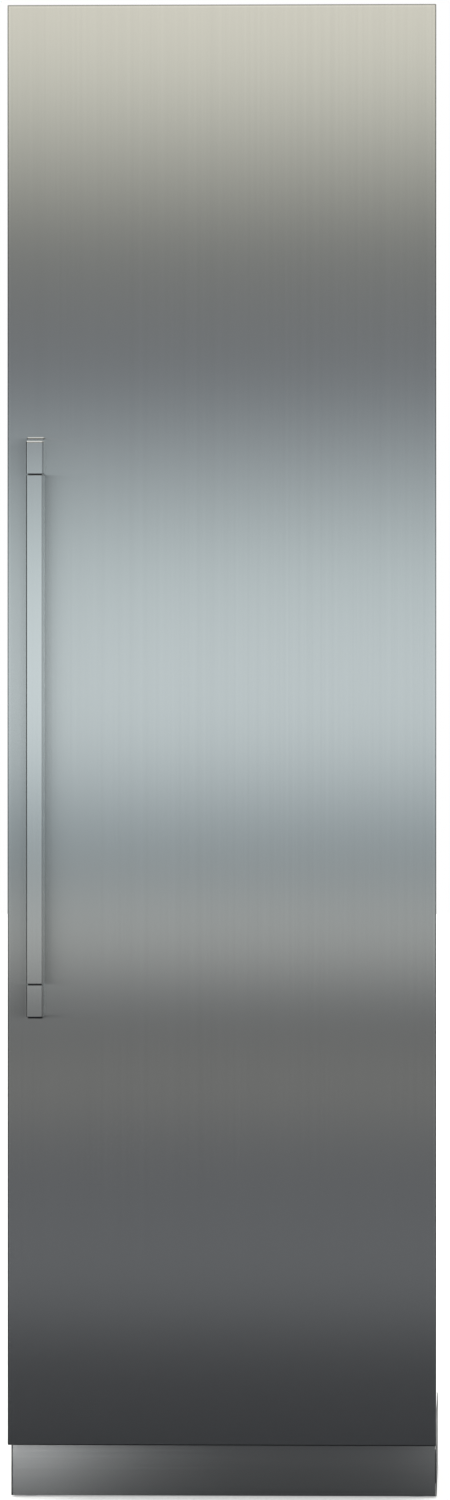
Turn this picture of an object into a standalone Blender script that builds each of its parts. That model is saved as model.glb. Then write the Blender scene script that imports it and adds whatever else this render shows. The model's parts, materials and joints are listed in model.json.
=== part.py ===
"""A tall column refrigerator with a stainless door hinged on the right, in metres.

+X is to the viewer's right, +Y goes from the door to the back, +Z is up. The origin is on the floor,
at the middle of the whole footprint, handle included.
"""

import math

import bmesh
import bpy
from mathutils import Matrix, Vector

MM = 0.001

# Whole appliance: the door is the known size, and the rest follows the photograph at its scale
DOOR_WIDTH = 604 * MM
DOOR_HEIGHT = 2029 * MM
DOOR_BOTTOM = 82.5 * MM
DOOR_OVERHANG = 3 * MM
CABINET_DEPTH = 554 * MM
DOOR_DROP = 17.5 * MM
TOP_REVEAL = 13.5 * MM
FIT_GAP = 0.3 * MM
CUT_OVERRUN = 5 * MM
EDGE_SOFTENING = 0.6 * MM
MERGE_DISTANCE = 0.01 * MM

# Door
SKIN_DEPTH = 19 * MM
SKIN_SHEET = 1.5 * MM
SKIN_EDGE_RADIUS = 1.2 * MM
CORE_DEPTH = 42 * MM
CORE_CLEARANCE = 3.5 * MM
CORE_SIDE_CLEARANCE = 1 * MM
SEAL_SPACE = 10 * MM
SEAL_WIDTH = 20 * MM
SEAL_MARGIN = 15 * MM
DOOR_LINER_SHEET = 4 * MM
DIKE_DEPTH = 28 * MM
DIKE_WIDTH = 14 * MM
DIKE_SIDE_GAP = 17.4 * MM
DIKE_LIFT = 83.4 * MM
DIKE_END_MARGIN = 45 * MM
LUG_HEIGHT = 10 * MM
LUG_REACH = 7 * MM

# Handle
HANDLE_REACH = 63 * MM
HANDLE_INSET = 42 * MM
HANDLE_BAR = 25 * MM
HANDLE_FOOT = 688 * MM
HANDLE_LENGTH = 809.6 * MM
LOWER_POST = 44.4 * MM
UPPER_POST = 49 * MM
POST_STEP = 3.5 * MM
HANDLE_EDGE = 2.2 * MM
HANDLE_SEAM = 1.4 * MM
TENON_WIDTH = 13 * MM
TENON_LENGTH = 9 * MM

# Hinge
HINGE_INSET = 17.5 * MM
HINGE_PLATE = 5 * MM
HINGE_PLATE_OUTER = 9 * MM
HINGE_PLATE_INNER = 22 * MM
HINGE_PLATE_NOSE = 14 * MM
HINGE_PLATE_REACH = 91 * MM
PIN_RADIUS = 5 * MM
PIN_HEAD_RADIUS = 8 * MM
PIN_HEAD_HEIGHT = 3 * MM
BUSH_RADIUS = 8 * MM
BUSH_LENGTH = 25 * MM
BUSH_FLANGE_RADIUS = 11 * MM

# Cabinet walls
SHEET = 1 * MM
LINER_WALL = 2 * MM
SIDE_FOAM = 52 * MM
END_FOAM = 55 * MM
BACK_FOAM = 50 * MM
NICHE_DEPTH = 194 * MM
NICHE_HEADROOM = 32.4 * MM

# Base
BASE_SETBACK = 94 * MM
RAIL_SHEET = 1.5 * MM
RAIL_SIDE_CLEARANCE = 1.5 * MM
RAIL_FLANGE = 52 * MM
RAIL_BOTTOM = 20 * MM
RAIL_CHAMFER = 6 * MM
RAIL_RISE = 8 * MM
RAIL_FOOT_SHEET = 3 * MM
PAN_SHEET = 2 * MM
PAN_OVERLAP = 12 * MM
KICK_SHEET = 1.5 * MM
KICK_LIP = 15 * MM
KICK_GROUND_GAP = 3 * MM
KICK_TOP_GAP = 10 * MM
MACHINE_COVER_SHEET = 2 * MM
VENT_COLUMNS = 11
VENT_HEIGHT = 52 * MM
VENT_WIDTH = 9 * MM
VENT_MARGIN = 60 * MM
VENT_LIFT = 45 * MM

# Levelling feet
FOOT_RADIUS = 20 * MM
FOOT_DISC = 8 * MM
FOOT_NECK_RADIUS = 9 * MM
FOOT_NECK = 8 * MM
FOOT_SPINDLE_RADIUS = 5 * MM
FOOT_SPINDLE_TOP = 80 * MM
FOOT_HOLE_CLEARANCE = 0.5 * MM
FOOT_SIDE_INSET = 27 * MM
FOOT_END_INSET = 45 * MM

# Machine compartment
CAN_RADIUS = 62 * MM
CAN_HEIGHT = 150 * MM
CAN_ROUNDING = 28 * MM
CAN_PLATE = 3 * MM
CAN_PLATE_SIDE = 150 * MM
SHROUD_SIDE = 150 * MM
SHROUD_DEPTH = 22 * MM
SHROUD_OPENING_RADIUS = 64 * MM
SHROUD_OFFSET = 5 * MM
SPIDER_WIDTH = 8 * MM
SPIDER_DEPTH = 6 * MM
MOTOR_RADIUS = 20 * MM
ROTOR_RADIUS = 60 * MM
ROTOR_HUB_RADIUS = 17 * MM
ROTOR_DEPTH = 14 * MM
ROTOR_BLADES = 5
BLADE_SHEET = 2 * MM
BLADE_PITCH_DEG = 28
SHAFT_RADIUS = 3 * MM
CONDENSER_TUBE_RADIUS = 3 * MM
CONDENSER_PITCH = 24 * MM
CONDENSER_PASSES = 6
CONDENSER_LAYERS = 3
CONDENSER_LAYER_PITCH = 36 * MM
CONDENSER_LENGTH = 110 * MM
CONDENSER_RAIL_GAP = 48 * MM
CONDENSER_LIFT = 14 * MM
CONDENSER_PLATE = 2 * MM
CONDENSER_PLATE_SHARE = 0.82
CONTROL_BOX_WIDTH = 120 * MM
CONTROL_BOX_DEPTH = 40 * MM
CONTROL_BOX_HEIGHT = 62 * MM
CONTROL_BOX_LIFT = 180 * MM
INLET_WIDTH = 32 * MM
INLET_HEIGHT = 24 * MM
INLET_WALL = 2.5 * MM
INLET_DEPTH = 14 * MM

# Cold air system behind the shelves
DUCT_SIDE_GAP = 38.4 * MM
DUCT_DEPTH = 42 * MM
DUCT_SHEET = 2.5 * MM
DUCT_TOP_GAP = 12 * MM
DUCT_FOOT_GAP = 40 * MM
DUCT_SLOT_WIDTH = 70 * MM
DUCT_SLOT_HEIGHT = 7 * MM
DUCT_SLOT_OFFSET = 75 * MM
DUCT_FAN_RISE = 100 * MM
DUCT_FAN_RADIUS = 50 * MM
DUCT_FAN_HUB = 14 * MM
DUCT_FAN_SPOKES = 8
DUCT_SPOKE_SHARE = 0.25
FAN_SHEET_GAP = 2 * MM
AIR_ROTOR_RADIUS = 45 * MM
AIR_ROTOR_DEPTH = 12 * MM
EVAPORATOR_HEIGHT = 260 * MM
EVAPORATOR_SIDE_GAP = 40 * MM
EVAPORATOR_DEPTH = 28 * MM
EVAPORATOR_FINS = 22
FIN_SHEET = 2 * MM
EVAPORATOR_SPINE = 8 * MM
EVAPORATOR_LIFT = 22 * MM

# Shelves, drawers and door racks
RIB_HEIGHT = 8 * MM
RIB_REACH = 14 * MM
UPPER_RIB_REACH = 7 * MM
SHELF_GLASS = 5 * MM
SHELF_SIDE_GAP = 1.5 * MM
SHELF_SETBACK = 130 * MM
SHELF_BACK_GAP = 6 * MM
SPLIT_DROP = 6.3 * MM
SPLIT_CLEARANCE = 4 * MM
SPLIT_SIDE_GAP = 3.4 * MM
SHELF_TRIM_HEIGHT = 14 * MM
SHELF_TRIM_DEPTH = 8 * MM
FIRST_BAY = 217.4 * MM
TOP_BAY = 369.4 * MM
SHELF_COUNT = 4
SPLIT_SHELF_INDEX = 2
SPLIT_TRAVEL = 150 * MM
BIN_SETBACK = 90 * MM
BIN_WALL = 2.5 * MM
BIN_SIDE_GAP = 19.4 * MM
BIN_EDGE = 3 * MM
FRONT_SHEET = 7 * MM
FRONT_SIDE_STEP = 2 * MM
FRONT_OVERHANG = 6 * MM
GRIP_REACH = 9 * MM
GRIP_HEIGHT = 12 * MM
RUNNER_HEIGHT = 6 * MM
RUNNER_REACH = 9 * MM
RUNNER_SETBACK = 42 * MM
RUNNER_DROP = 26 * MM
RAIL_CHANNEL_WIDTH = 12 * MM
RAIL_CHANNEL_HEIGHT = 12 * MM
RAIL_CHANNEL_WALL = 1.5 * MM
RUNNER_CLEARANCE = 0.8 * MM
LOWER_BIN_HEIGHT = 165 * MM
UPPER_BIN_HEIGHT = 190 * MM
BIN_FLOOR_GAP = 12 * MM
BIN_BACK_GAP = 6 * MM
COVER_GAP = 16 * MM
COVER_SHEET = 6 * MM
COVER_SETBACK = 94 * MM
RACK_SIDE_GAP = 10 * MM
RACK_DEPTH = 120 * MM
RACK_WALL = 3 * MM
RACK_EDGE = 3 * MM
RACK_HEIGHT = 85 * MM
RACK_COUNT = 4
RACK_LIFT = 80 * MM
RACK_TOP_SPACE = 398.2 * MM
HOOK_HEIGHT = 12 * MM
HOOK_REACH = 8 * MM
HOOK_DEPTH = 22 * MM
HOOK_LIFT = 40 * MM
HOOK_INSET = 3 * MM
LIGHT_WIDTH = 10 * MM
LIGHT_DEPTH = 5 * MM
LIGHT_SETBACK = 60 * MM
LIGHT_MARGIN = 80 * MM
PANEL_WIDTH = 260 * MM
PANEL_HEIGHT = 22 * MM
PANEL_DEPTH = 60 * MM
PANEL_SETBACK = 80 * MM

# Rounding steps and looks
ROUND_STEPS = 32
SMALL_STEPS = 16
TUBE_RESOLUTION = 2
BEND_STEPS = 4
BEVEL_STEPS = 2

STEEL_DOOR = ((0.47, 0.48, 0.48), 0.28, 1.0)
STEEL_HANDLE = ((0.52, 0.53, 0.53), 0.25, 1.0)
STEEL_KICK = ((0.42, 0.42, 0.42), 0.35, 1.0)
STEEL_ZINC = ((0.45, 0.46, 0.48), 0.4, 1.0)
PAINTED_GREY = ((0.33, 0.34, 0.35), 0.55, 0.0)
PAINTED_BLACK = ((0.02, 0.02, 0.02), 0.5, 0.0)
LINER_WHITE = ((0.82, 0.83, 0.83), 0.4, 0.0)
FOAM = ((0.78, 0.68, 0.42), 0.9, 0.0)
GREY_PLASTIC = ((0.25, 0.26, 0.27), 0.5, 0.0)
GASKET_GREY = ((0.3, 0.3, 0.31), 0.7, 0.0)
CLEAR_PLASTIC = ((0.8, 0.86, 0.9), 0.1, 0.0)
GLASS = ((0.72, 0.85, 0.83), 0.05, 0.0)
TRIM_SATIN = ((0.6, 0.61, 0.62), 0.35, 1.0)
ALUMINIUM = ((0.66, 0.67, 0.68), 0.4, 1.0)
LIGHT_DIFFUSER = ((0.95, 0.95, 0.92), 0.3, 0.0)
WHITE_PLASTIC = ((0.8, 0.81, 0.82), 0.45, 0.0)

# Widths that follow the door
CABINET_WIDTH = DOOR_WIDTH - 2 * DOOR_OVERHANG
CORE_WIDTH = CABINET_WIDTH - 2 * CORE_SIDE_CLEARANCE
BASE_WIDTH = CABINET_WIDTH + 2 * (RAIL_SIDE_CLEARANCE + RAIL_SHEET)
HANDLE_CENTRE = DOOR_WIDTH / 2 - HANDLE_INSET
CAN_SIDE_OFFSET = BASE_WIDTH / 2 - RAIL_FLANGE - CAN_PLATE_SIDE / 2
CONDENSER_HALF = (CONDENSER_LAYERS - 1) / 2 * CONDENSER_LAYER_PITCH + 2 * CONDENSER_TUBE_RADIUS
CONDENSER_OFFSET = BASE_WIDTH / 2 - RAIL_FLANGE - CONDENSER_RAIL_GAP - CONDENSER_HALF

# Planes across the depth, from the handle to the back
HANDLE_FRONT = -(HANDLE_REACH + SKIN_DEPTH + CORE_DEPTH + SEAL_SPACE + CABINET_DEPTH) / 2
HANDLE_BACK = HANDLE_FRONT + HANDLE_BAR
DOOR_FRONT = HANDLE_FRONT + HANDLE_REACH
SKIN_BACK = DOOR_FRONT + SKIN_DEPTH
CORE_BACK = SKIN_BACK + CORE_DEPTH
CABINET_FRONT = CORE_BACK + SEAL_SPACE
CABINET_BACK = CABINET_FRONT + CABINET_DEPTH
NICHE_FRONT = CABINET_BACK - NICHE_DEPTH
BASE_FRONT = DOOR_FRONT + BASE_SETBACK
PANEL_FRONT = CABINET_FRONT + LINER_WALL + FIT_GAP

# Heights
DOOR_TOP = DOOR_BOTTOM + DOOR_HEIGHT
BASE_HEIGHT = DOOR_BOTTOM + DOOR_DROP
KICK_HEIGHT = BASE_HEIGHT - KICK_TOP_GAP
CABINET_TOP = DOOR_TOP - TOP_REVEAL
CORE_BOTTOM = BASE_HEIGHT + CORE_CLEARANCE
CORE_TOP = CABINET_TOP - CORE_CLEARANCE
RAIL_FLOOR = RAIL_BOTTOM + RAIL_FOOT_SHEET
PAN_BOTTOM = RAIL_FLOOR + FIT_GAP
PAN_TOP = PAN_BOTTOM + PAN_SHEET
MACHINE_FLOOR = PAN_TOP + FIT_GAP
NICHE_TOP = MACHINE_FLOOR + CONTROL_BOX_LIFT + CONTROL_BOX_HEIGHT + NICHE_HEADROOM

# The stepped space inside the liner
WALL_STACK = SHEET + LINER_WALL + 2 * FIT_GAP
CABINET_HALF = CABINET_WIDTH / 2
SHEET_INNER_HALF = CABINET_HALF - SHEET - FIT_GAP
ROOM_HALF = CABINET_HALF - WALL_STACK - SIDE_FOAM
ROOM_FLOOR = BASE_HEIGHT + WALL_STACK + END_FOAM
ROOM_TOP = CABINET_TOP - WALL_STACK - END_FOAM
ROOM_BACK = CABINET_BACK - WALL_STACK - BACK_FOAM
STEP_FACE = NICHE_FRONT - WALL_STACK - END_FOAM
STEP_TOP = NICHE_TOP + WALL_STACK + END_FOAM

# Hinge axis
HINGE_X = DOOR_WIDTH / 2 - HINGE_INSET
HINGE_Y = SKIN_BACK + CORE_DEPTH / 2

# Shelves and drawers
DUCT_HALF_WIDTH = ROOM_HALF - DUCT_SIDE_GAP
EVAPORATOR_HALF_WIDTH = DUCT_HALF_WIDTH - EVAPORATOR_SIDE_GAP
DUCT_FRONT = ROOM_BACK - FIT_GAP - DUCT_DEPTH
DUCT_BOTTOM = STEP_TOP + DUCT_FOOT_GAP
DUCT_TOP = ROOM_TOP - DUCT_TOP_GAP
SHELF_FRONT = CABINET_FRONT + SHELF_SETBACK
GLASS_FRONT = SHELF_FRONT + SHELF_TRIM_DEPTH + FIT_GAP
SHELF_BACK = DUCT_FRONT - SHELF_BACK_GAP
SHELF_HALF = ROOM_HALF - SHELF_SIDE_GAP
SPLIT_HALF = ROOM_HALF - UPPER_RIB_REACH - SPLIT_SIDE_GAP
SPLIT_REAR_FRONT = SHELF_FRONT + SPLIT_TRAVEL + SPLIT_CLEARANCE
FRONT_PLANE = CABINET_FRONT + BIN_SETBACK
BIN_FRONT = FRONT_PLANE + FRONT_SHEET + FIT_GAP
LOWER_BIN_BOTTOM = ROOM_FLOOR + BIN_FLOOR_GAP
UPPER_BIN_BOTTOM = STEP_TOP + BIN_FLOOR_GAP
COVER_BOTTOM = UPPER_BIN_BOTTOM + UPPER_BIN_HEIGHT + COVER_GAP
FIRST_SHELF = COVER_BOTTOM + COVER_SHEET + FIRST_BAY
SHELF_PITCH = (ROOM_TOP - TOP_BAY - FIRST_SHELF) / (SHELF_COUNT - 1)
BIN_HALF_WIDTH = ROOM_HALF - BIN_SIDE_GAP
FRONT_HALF_WIDTH = BIN_HALF_WIDTH - FRONT_SIDE_STEP
DOOR_LINER_FACE = CORE_BACK + FIT_GAP + DOOR_LINER_SHEET
RACK_FRONT = DOOR_LINER_FACE + FIT_GAP
DIKE_OUTER = ROOM_HALF - DIKE_SIDE_GAP
DIKE_INNER = DIKE_OUTER - DIKE_WIDTH
DIKE_START = COVER_BOTTOM + DIKE_LIFT
DIKE_END = CORE_TOP - SEAL_MARGIN - SEAL_WIDTH - FIT_GAP - DIKE_END_MARGIN
RACK_HALF_WIDTH = DIKE_INNER - RACK_SIDE_GAP
RACK_FIRST = DIKE_START + RACK_LIFT
RACK_PITCH = (DIKE_END - RACK_TOP_SPACE - RACK_FIRST) / (RACK_COUNT - 1)
FAN_HEIGHT = DUCT_BOTTOM + EVAPORATOR_LIFT + EVAPORATOR_HEIGHT + DUCT_FAN_RISE
NICHE_MIDDLE = (NICHE_FRONT + CABINET_BACK) / 2
SHROUD_CENTRE = MACHINE_FLOOR + SHROUD_SIDE / 2


def shelf_height(index):
    """Underside of the glass of one shelf."""
    return FIRST_SHELF + index * SHELF_PITCH


def rack_height(index):
    """Underside of one door rack."""
    return RACK_FIRST + index * RACK_PITCH


def mirrored(side, near, far):
    """Span across X at one side of the middle, written low to high."""
    return tuple(sorted((side * near, side * far)))


def centred(middle, width):
    """Span of a width about a middle."""
    return (middle - width / 2, middle + width / 2)


# Mesh helpers
def place(axis, first, second, along):
    """Put a flat point on its plane: Y and Z for X, X and Z for Y, X and Y for Z."""
    if axis == 'X':
        return (along, first, second)
    if axis == 'Y':
        return (first, along, second)
    return (first, second, along)


def add_box(mesh, x_span, y_span, z_span):
    """Add a closed box between three spans."""
    corners = [mesh.verts.new((x, y, z)) for x in x_span for y in y_span for z in z_span]
    sides = ((0, 1, 3, 2), (4, 6, 7, 5), (0, 4, 5, 1), (2, 3, 7, 6), (0, 2, 6, 4), (1, 5, 7, 3))
    for side in sides:
        mesh.faces.new([corners[index] for index in side])


def add_prism(mesh, outline, span, axis):
    """Add a closed solid with a flat outline drawn out along an axis."""
    near, far = [[mesh.verts.new(place(axis, a, b, along)) for a, b in outline] for along in span]
    mesh.faces.new(near)
    mesh.faces.new(list(reversed(far)))
    for index in range(len(outline)):
        after = (index + 1) % len(outline)
        mesh.faces.new((near[index], near[after], far[after], far[index]))


def add_turned(mesh, profile, centre, axis, steps=ROUND_STEPS):
    """Add a solid turned about an axis from points of (radius, place along the axis)."""
    rings = []
    for radius, along in profile:
        count = steps if radius > 0 else 1
        angles = [2 * math.pi * step / steps for step in range(count)]
        rings.append([mesh.verts.new(place(axis, centre[0] + radius * math.cos(angle),
                                           centre[1] + radius * math.sin(angle), along))
                      for angle in angles])
    for ring, following in zip(rings, rings[1:] + rings[:1]):
        if len(ring) == 1 and len(following) == 1:
            continue
        for step in range(steps):
            after = (step + 1) % steps
            corners = (ring[step % len(ring)], ring[after % len(ring)],
                       following[after % len(following)], following[step % len(following)])
            mesh.faces.new(list(dict.fromkeys(corners)))


def rod(radius, low, high):
    """Profile of a plain cylinder."""
    return [(0, low), (radius, low), (radius, high), (0, high)]


def ring_outline(x_span, z_span):
    """Corners of a rectangle."""
    return [(x_span[0], z_span[0]), (x_span[1], z_span[0]), (x_span[1], z_span[1]), (x_span[0], z_span[1])]


def finished(name, mesh, smooth_degrees=0):
    """Turn a bmesh into an object with its faces pointing out."""
    bmesh.ops.recalc_face_normals(mesh, faces=mesh.faces)
    data = bpy.data.meshes.new(name)
    mesh.to_mesh(data)
    mesh.free()
    if smooth_degrees:
        data.shade_smooth()
        data.set_sharp_from_angle(angle=math.radians(smooth_degrees))
    thing = bpy.data.objects.new(name, data)
    bpy.context.scene.collection.objects.link(thing)
    return thing


def box(name, x_span, y_span, z_span):
    """One box as an object."""
    mesh = bmesh.new()
    add_box(mesh, x_span, y_span, z_span)
    return finished(name, mesh)


def boxes(name, spans):
    """Several separate boxes in one object, for a cutter or a joining tool."""
    mesh = bmesh.new()
    for x_span, y_span, z_span in spans:
        add_box(mesh, x_span, y_span, z_span)
    return finished(name, mesh)


def prism(name, outline, span, axis):
    """One drawn-out outline as an object."""
    mesh = bmesh.new()
    add_prism(mesh, outline, span, axis)
    return finished(name, mesh)


def turned(name, profile, centre, axis, steps=ROUND_STEPS):
    """One turned solid as a smooth-shaded object."""
    mesh = bmesh.new()
    add_turned(mesh, profile, centre, axis, steps)
    return finished(name, mesh, 40)


def soften(thing, width, steps=BEVEL_STEPS):
    """Round the sharp edges of an object."""
    modifier = thing.modifiers.new('soft_edges', 'BEVEL')
    modifier.width = width
    modifier.segments = steps
    modifier.limit_method = 'ANGLE'
    modifier.use_clamp_overlap = False
    return thing


def combine(thing, tool, operation):
    """Cut a hidden tool from an object, or join the tool to it."""
    tool.hide_render = True
    tool.display_type = 'WIRE'
    tool.parent = thing
    modifier = thing.modifiers.new(tool.name, 'BOOLEAN')
    modifier.operation = operation
    modifier.solver = 'EXACT'
    modifier.object = tool
    return thing


def carve(thing, tool):
    """Cut a tool from an object."""
    return combine(thing, tool, 'DIFFERENCE')


def join(thing, tool):
    """Join a tool to an object as one body."""
    return combine(thing, tool, 'UNION')


def dress(thing, look):
    """Give an object its own material."""
    colour, roughness, metallic = look
    material = bpy.data.materials.new(thing.name)
    material.use_nodes = True
    shader = material.node_tree.nodes['Principled BSDF']
    shader.inputs['Base Color'].default_value = (*colour, 1)
    shader.inputs['Roughness'].default_value = roughness
    shader.inputs['Metallic'].default_value = metallic
    thing.data.materials.clear()
    thing.data.materials.append(material)
    return thing


def pivot(name, location, parent=None):
    """An empty on a joint's axis."""
    empty = bpy.data.objects.new(name, None)
    bpy.context.scene.collection.objects.link(empty)
    empty.empty_display_size = HINGE_INSET
    if parent is not None:
        empty.parent = parent
        location = Vector(location) - parent.matrix_world.translation
    empty.location = location
    bpy.context.view_layer.update()
    return empty


def hang(things, empty):
    """Let objects ride on an empty without moving them."""
    for thing in things:
        thing.parent = empty
        thing.matrix_parent_inverse = empty.matrix_world.inverted()


# Cabinet walls
def room_outline(growth, front):
    """Side outline of the stepped room, grown outward from the liner's inner face."""
    return [(front, ROOM_FLOOR - growth), (STEP_FACE + growth, ROOM_FLOOR - growth),
            (STEP_FACE + growth, STEP_TOP - growth), (ROOM_BACK + growth, STEP_TOP - growth),
            (ROOM_BACK + growth, ROOM_TOP + growth), (front, ROOM_TOP + growth)]


def shell_outline(inset, front):
    """Side outline of the cabinet body over the machine niche, inset from its outer face."""
    return [(front, BASE_HEIGHT + inset), (NICHE_FRONT - inset, BASE_HEIGHT + inset),
            (NICHE_FRONT - inset, NICHE_TOP + inset), (CABINET_BACK - inset, NICHE_TOP + inset),
            (CABINET_BACK - inset, CABINET_TOP - inset), (front, CABINET_TOP - inset)]


def side_panel(name, side):
    """Outer side sheet, behind the liner's front flange."""
    return box(name, mirrored(side, CABINET_HALF - SHEET, CABINET_HALF),
               (PANEL_FRONT, CABINET_BACK), (BASE_HEIGHT, CABINET_TOP))


def top_panel():
    """Top sheet between the side panels."""
    return box('top_panel', (-SHEET_INNER_HALF, SHEET_INNER_HALF),
               (PANEL_FRONT, CABINET_BACK - SHEET - FIT_GAP), (CABINET_TOP - SHEET, CABINET_TOP))


def back_panel():
    """One bent sheet: bottom, front and top of the niche, and the back."""
    outer = shell_outline(0, PANEL_FRONT)[:5]
    inner = shell_outline(SHEET, PANEL_FRONT)[:5]
    inner[-1] = (inner[-1][0], CABINET_TOP)
    return prism('back_panel', outer + inner[::-1], (-SHEET_INNER_HALF, SHEET_INNER_HALF), 'X')


def insulation():
    """Foam body between the sheets and the liner."""
    half = SHEET_INNER_HALF
    body = prism('insulation', shell_outline(SHEET + FIT_GAP, PANEL_FRONT), (-half, half), 'X')
    growth = LINER_WALL + FIT_GAP
    room = prism('cut_insulation', room_outline(growth, PANEL_FRONT - CUT_OVERRUN),
                 (-ROOM_HALF - growth, ROOM_HALF + growth), 'X')
    return carve(body, room)


def rib_spans():
    """Boxes of the shelf ribs on both walls, sunk into the wall by half its thickness."""
    spans = []
    levels = [(COVER_BOTTOM, CABINET_FRONT + COVER_SETBACK)]
    levels += [(shelf_height(index), GLASS_FRONT)
               for index in range(SHELF_COUNT) if index != SPLIT_SHELF_INDEX]
    for side in (-1, 1):
        root = ROOM_HALF + LINER_WALL / 2
        for height, front in levels:
            top = height - FIT_GAP
            spans.append((mirrored(side, ROOM_HALF - RIB_REACH, root), (front, SHELF_BACK),
                          (top - RIB_HEIGHT, top)))
    return spans


def split_rib(side):
    """Stepped rib of the split shelf: the rear plate rides high and the front plate low."""
    top = shelf_height(SPLIT_SHELF_INDEX) - FIT_GAP
    low = top - SPLIT_DROP
    root = ROOM_HALF + LINER_WALL / 2
    outline = [(root, low - RIB_HEIGHT), (ROOM_HALF - RIB_REACH, low - RIB_HEIGHT),
               (ROOM_HALF - RIB_REACH, low), (ROOM_HALF - UPPER_RIB_REACH, low),
               (ROOM_HALF - UPPER_RIB_REACH, top), (root, top)]
    return prism('join_split_rib', [(side * x, z) for x, z in outline],
                 (SHELF_FRONT, SHELF_BACK), 'Y')


def inner_liner():
    """Moulded liner with a front flange, the step over the niche and the shelf ribs."""
    flange = box('inner_liner', (-CABINET_HALF, CABINET_HALF), (CABINET_FRONT, CABINET_FRONT + LINER_WALL),
                 (BASE_HEIGHT, CABINET_TOP))
    outer_half = ROOM_HALF + LINER_WALL
    shell = prism('join_liner_shell', room_outline(LINER_WALL, CABINET_FRONT + LINER_WALL / 2),
                  (-outer_half, outer_half), 'X')
    room = prism('cut_liner_room', room_outline(0, CABINET_FRONT - CUT_OVERRUN),
                 (-ROOM_HALF, ROOM_HALF), 'X')
    carve(join(flange, shell), room)
    join(flange, boxes('join_ribs', rib_spans()))
    for side in (-1, 1):
        join(flange, split_rib(side))
    return flange


def machine_cover():
    """Slotted sheet that closes the machine niche at the back."""
    cover = box('machine_cover', (-SHEET_INNER_HALF, SHEET_INNER_HALF),
                (CABINET_BACK - MACHINE_COVER_SHEET, CABINET_BACK), (MACHINE_FLOOR, NICHE_TOP - FIT_GAP))
    through = (CABINET_BACK - CUT_OVERRUN, CABINET_BACK + CUT_OVERRUN)
    reach = SHEET_INNER_HALF - VENT_MARGIN
    spans = []
    for column in range(VENT_COLUMNS):
        middle = -reach + 2 * reach * column / (VENT_COLUMNS - 1)
        low = MACHINE_FLOOR + VENT_LIFT
        spans.append((centred(middle, VENT_WIDTH), through, (low, low + VENT_HEIGHT)))
    carve(cover, boxes('cut_vents', spans))
    inlet = box('cut_inlet', centred(0, INLET_WIDTH + 2 * FIT_GAP), through,
                centred(inlet_height(), INLET_HEIGHT + 2 * FIT_GAP))
    return carve(cover, inlet)


# Base
def base_rail(name, side):
    """Side rail: an upright web with a foot flange and a flange under the cabinet."""
    half = BASE_WIDTH / 2
    top = BASE_HEIGHT + RAIL_RISE
    outline = [(BASE_FRONT, KICK_GROUND_GAP), (CABINET_BACK, KICK_GROUND_GAP), (CABINET_BACK, top),
               (BASE_FRONT + RAIL_CHAMFER, top), (BASE_FRONT, top - RAIL_CHAMFER)]
    web = prism(name, outline, mirrored(side, half - RAIL_SHEET, half), 'X')
    reach = mirrored(side, half - RAIL_FLANGE, half - RAIL_SHEET / 2)
    flange_front = BASE_FRONT + KICK_LIP + RAIL_SHEET + KICK_SHEET
    plate_end = HINGE_Y + HINGE_PLATE_REACH + FIT_GAP
    flanges = [(reach, (flange_front, CABINET_BACK), (RAIL_BOTTOM, RAIL_FLOOR)),
               (reach, (plate_end, NICHE_FRONT), (BASE_HEIGHT - FIT_GAP - RAIL_FOOT_SHEET,
                                                  BASE_HEIGHT - FIT_GAP))]
    join(web, boxes('join_flanges', flanges))
    holes = bmesh.new()
    for end in foot_places():
        add_turned(holes, rod(FOOT_SPINDLE_RADIUS + FOOT_HOLE_CLEARANCE, RAIL_BOTTOM - CUT_OVERRUN,
                              RAIL_FLOOR + CUT_OVERRUN), (side * foot_offset(), end), 'Z', SMALL_STEPS)
    return carve(web, finished('cut_foot_holes', holes))


def foot_offset():
    """Distance of the feet from the middle."""
    return BASE_WIDTH / 2 - FOOT_SIDE_INSET


def foot_places():
    """Depths of the front and rear feet."""
    return (BASE_FRONT + FOOT_END_INSET, CABINET_BACK - FOOT_END_INSET)


def foot(name, side, depth):
    """Levelling foot: a disc, a neck to turn it by, and its spindle."""
    neck_top = FOOT_DISC + FOOT_NECK
    profile = [(0, 0), (FOOT_RADIUS, 0), (FOOT_RADIUS, FOOT_DISC), (FOOT_NECK_RADIUS, FOOT_DISC),
               (FOOT_NECK_RADIUS, neck_top), (FOOT_SPINDLE_RADIUS, neck_top),
               (FOOT_SPINDLE_RADIUS, FOOT_SPINDLE_TOP), (0, FOOT_SPINDLE_TOP)]
    return turned(name, profile, (side * foot_offset(), depth), 'Z', SMALL_STEPS)


def base_pan():
    """Tray under the machine niche, on the foot flanges of both rails."""
    half = BASE_WIDTH / 2 - RAIL_FLANGE + PAN_OVERLAP
    return box('base_pan', (-half, half),
               (NICHE_FRONT + SHEET, CABINET_BACK - MACHINE_COVER_SHEET - FIT_GAP), (PAN_BOTTOM, PAN_TOP))


def toe_kick():
    """Kick sheet between the rails, folded back at the top and the bottom."""
    front = BASE_FRONT + RAIL_SHEET / 2
    inner = front + KICK_SHEET
    back = front + KICK_LIP
    low = KICK_GROUND_GAP
    outline = [(front, low), (back, low), (back, low + KICK_SHEET), (inner, low + KICK_SHEET),
               (inner, KICK_HEIGHT - KICK_SHEET), (back, KICK_HEIGHT - KICK_SHEET),
               (back, KICK_HEIGHT), (front, KICK_HEIGHT)]
    half = BASE_WIDTH / 2 - RAIL_SHEET - FIT_GAP
    return prism('toe_kick', outline, (-half, half), 'X')


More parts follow.
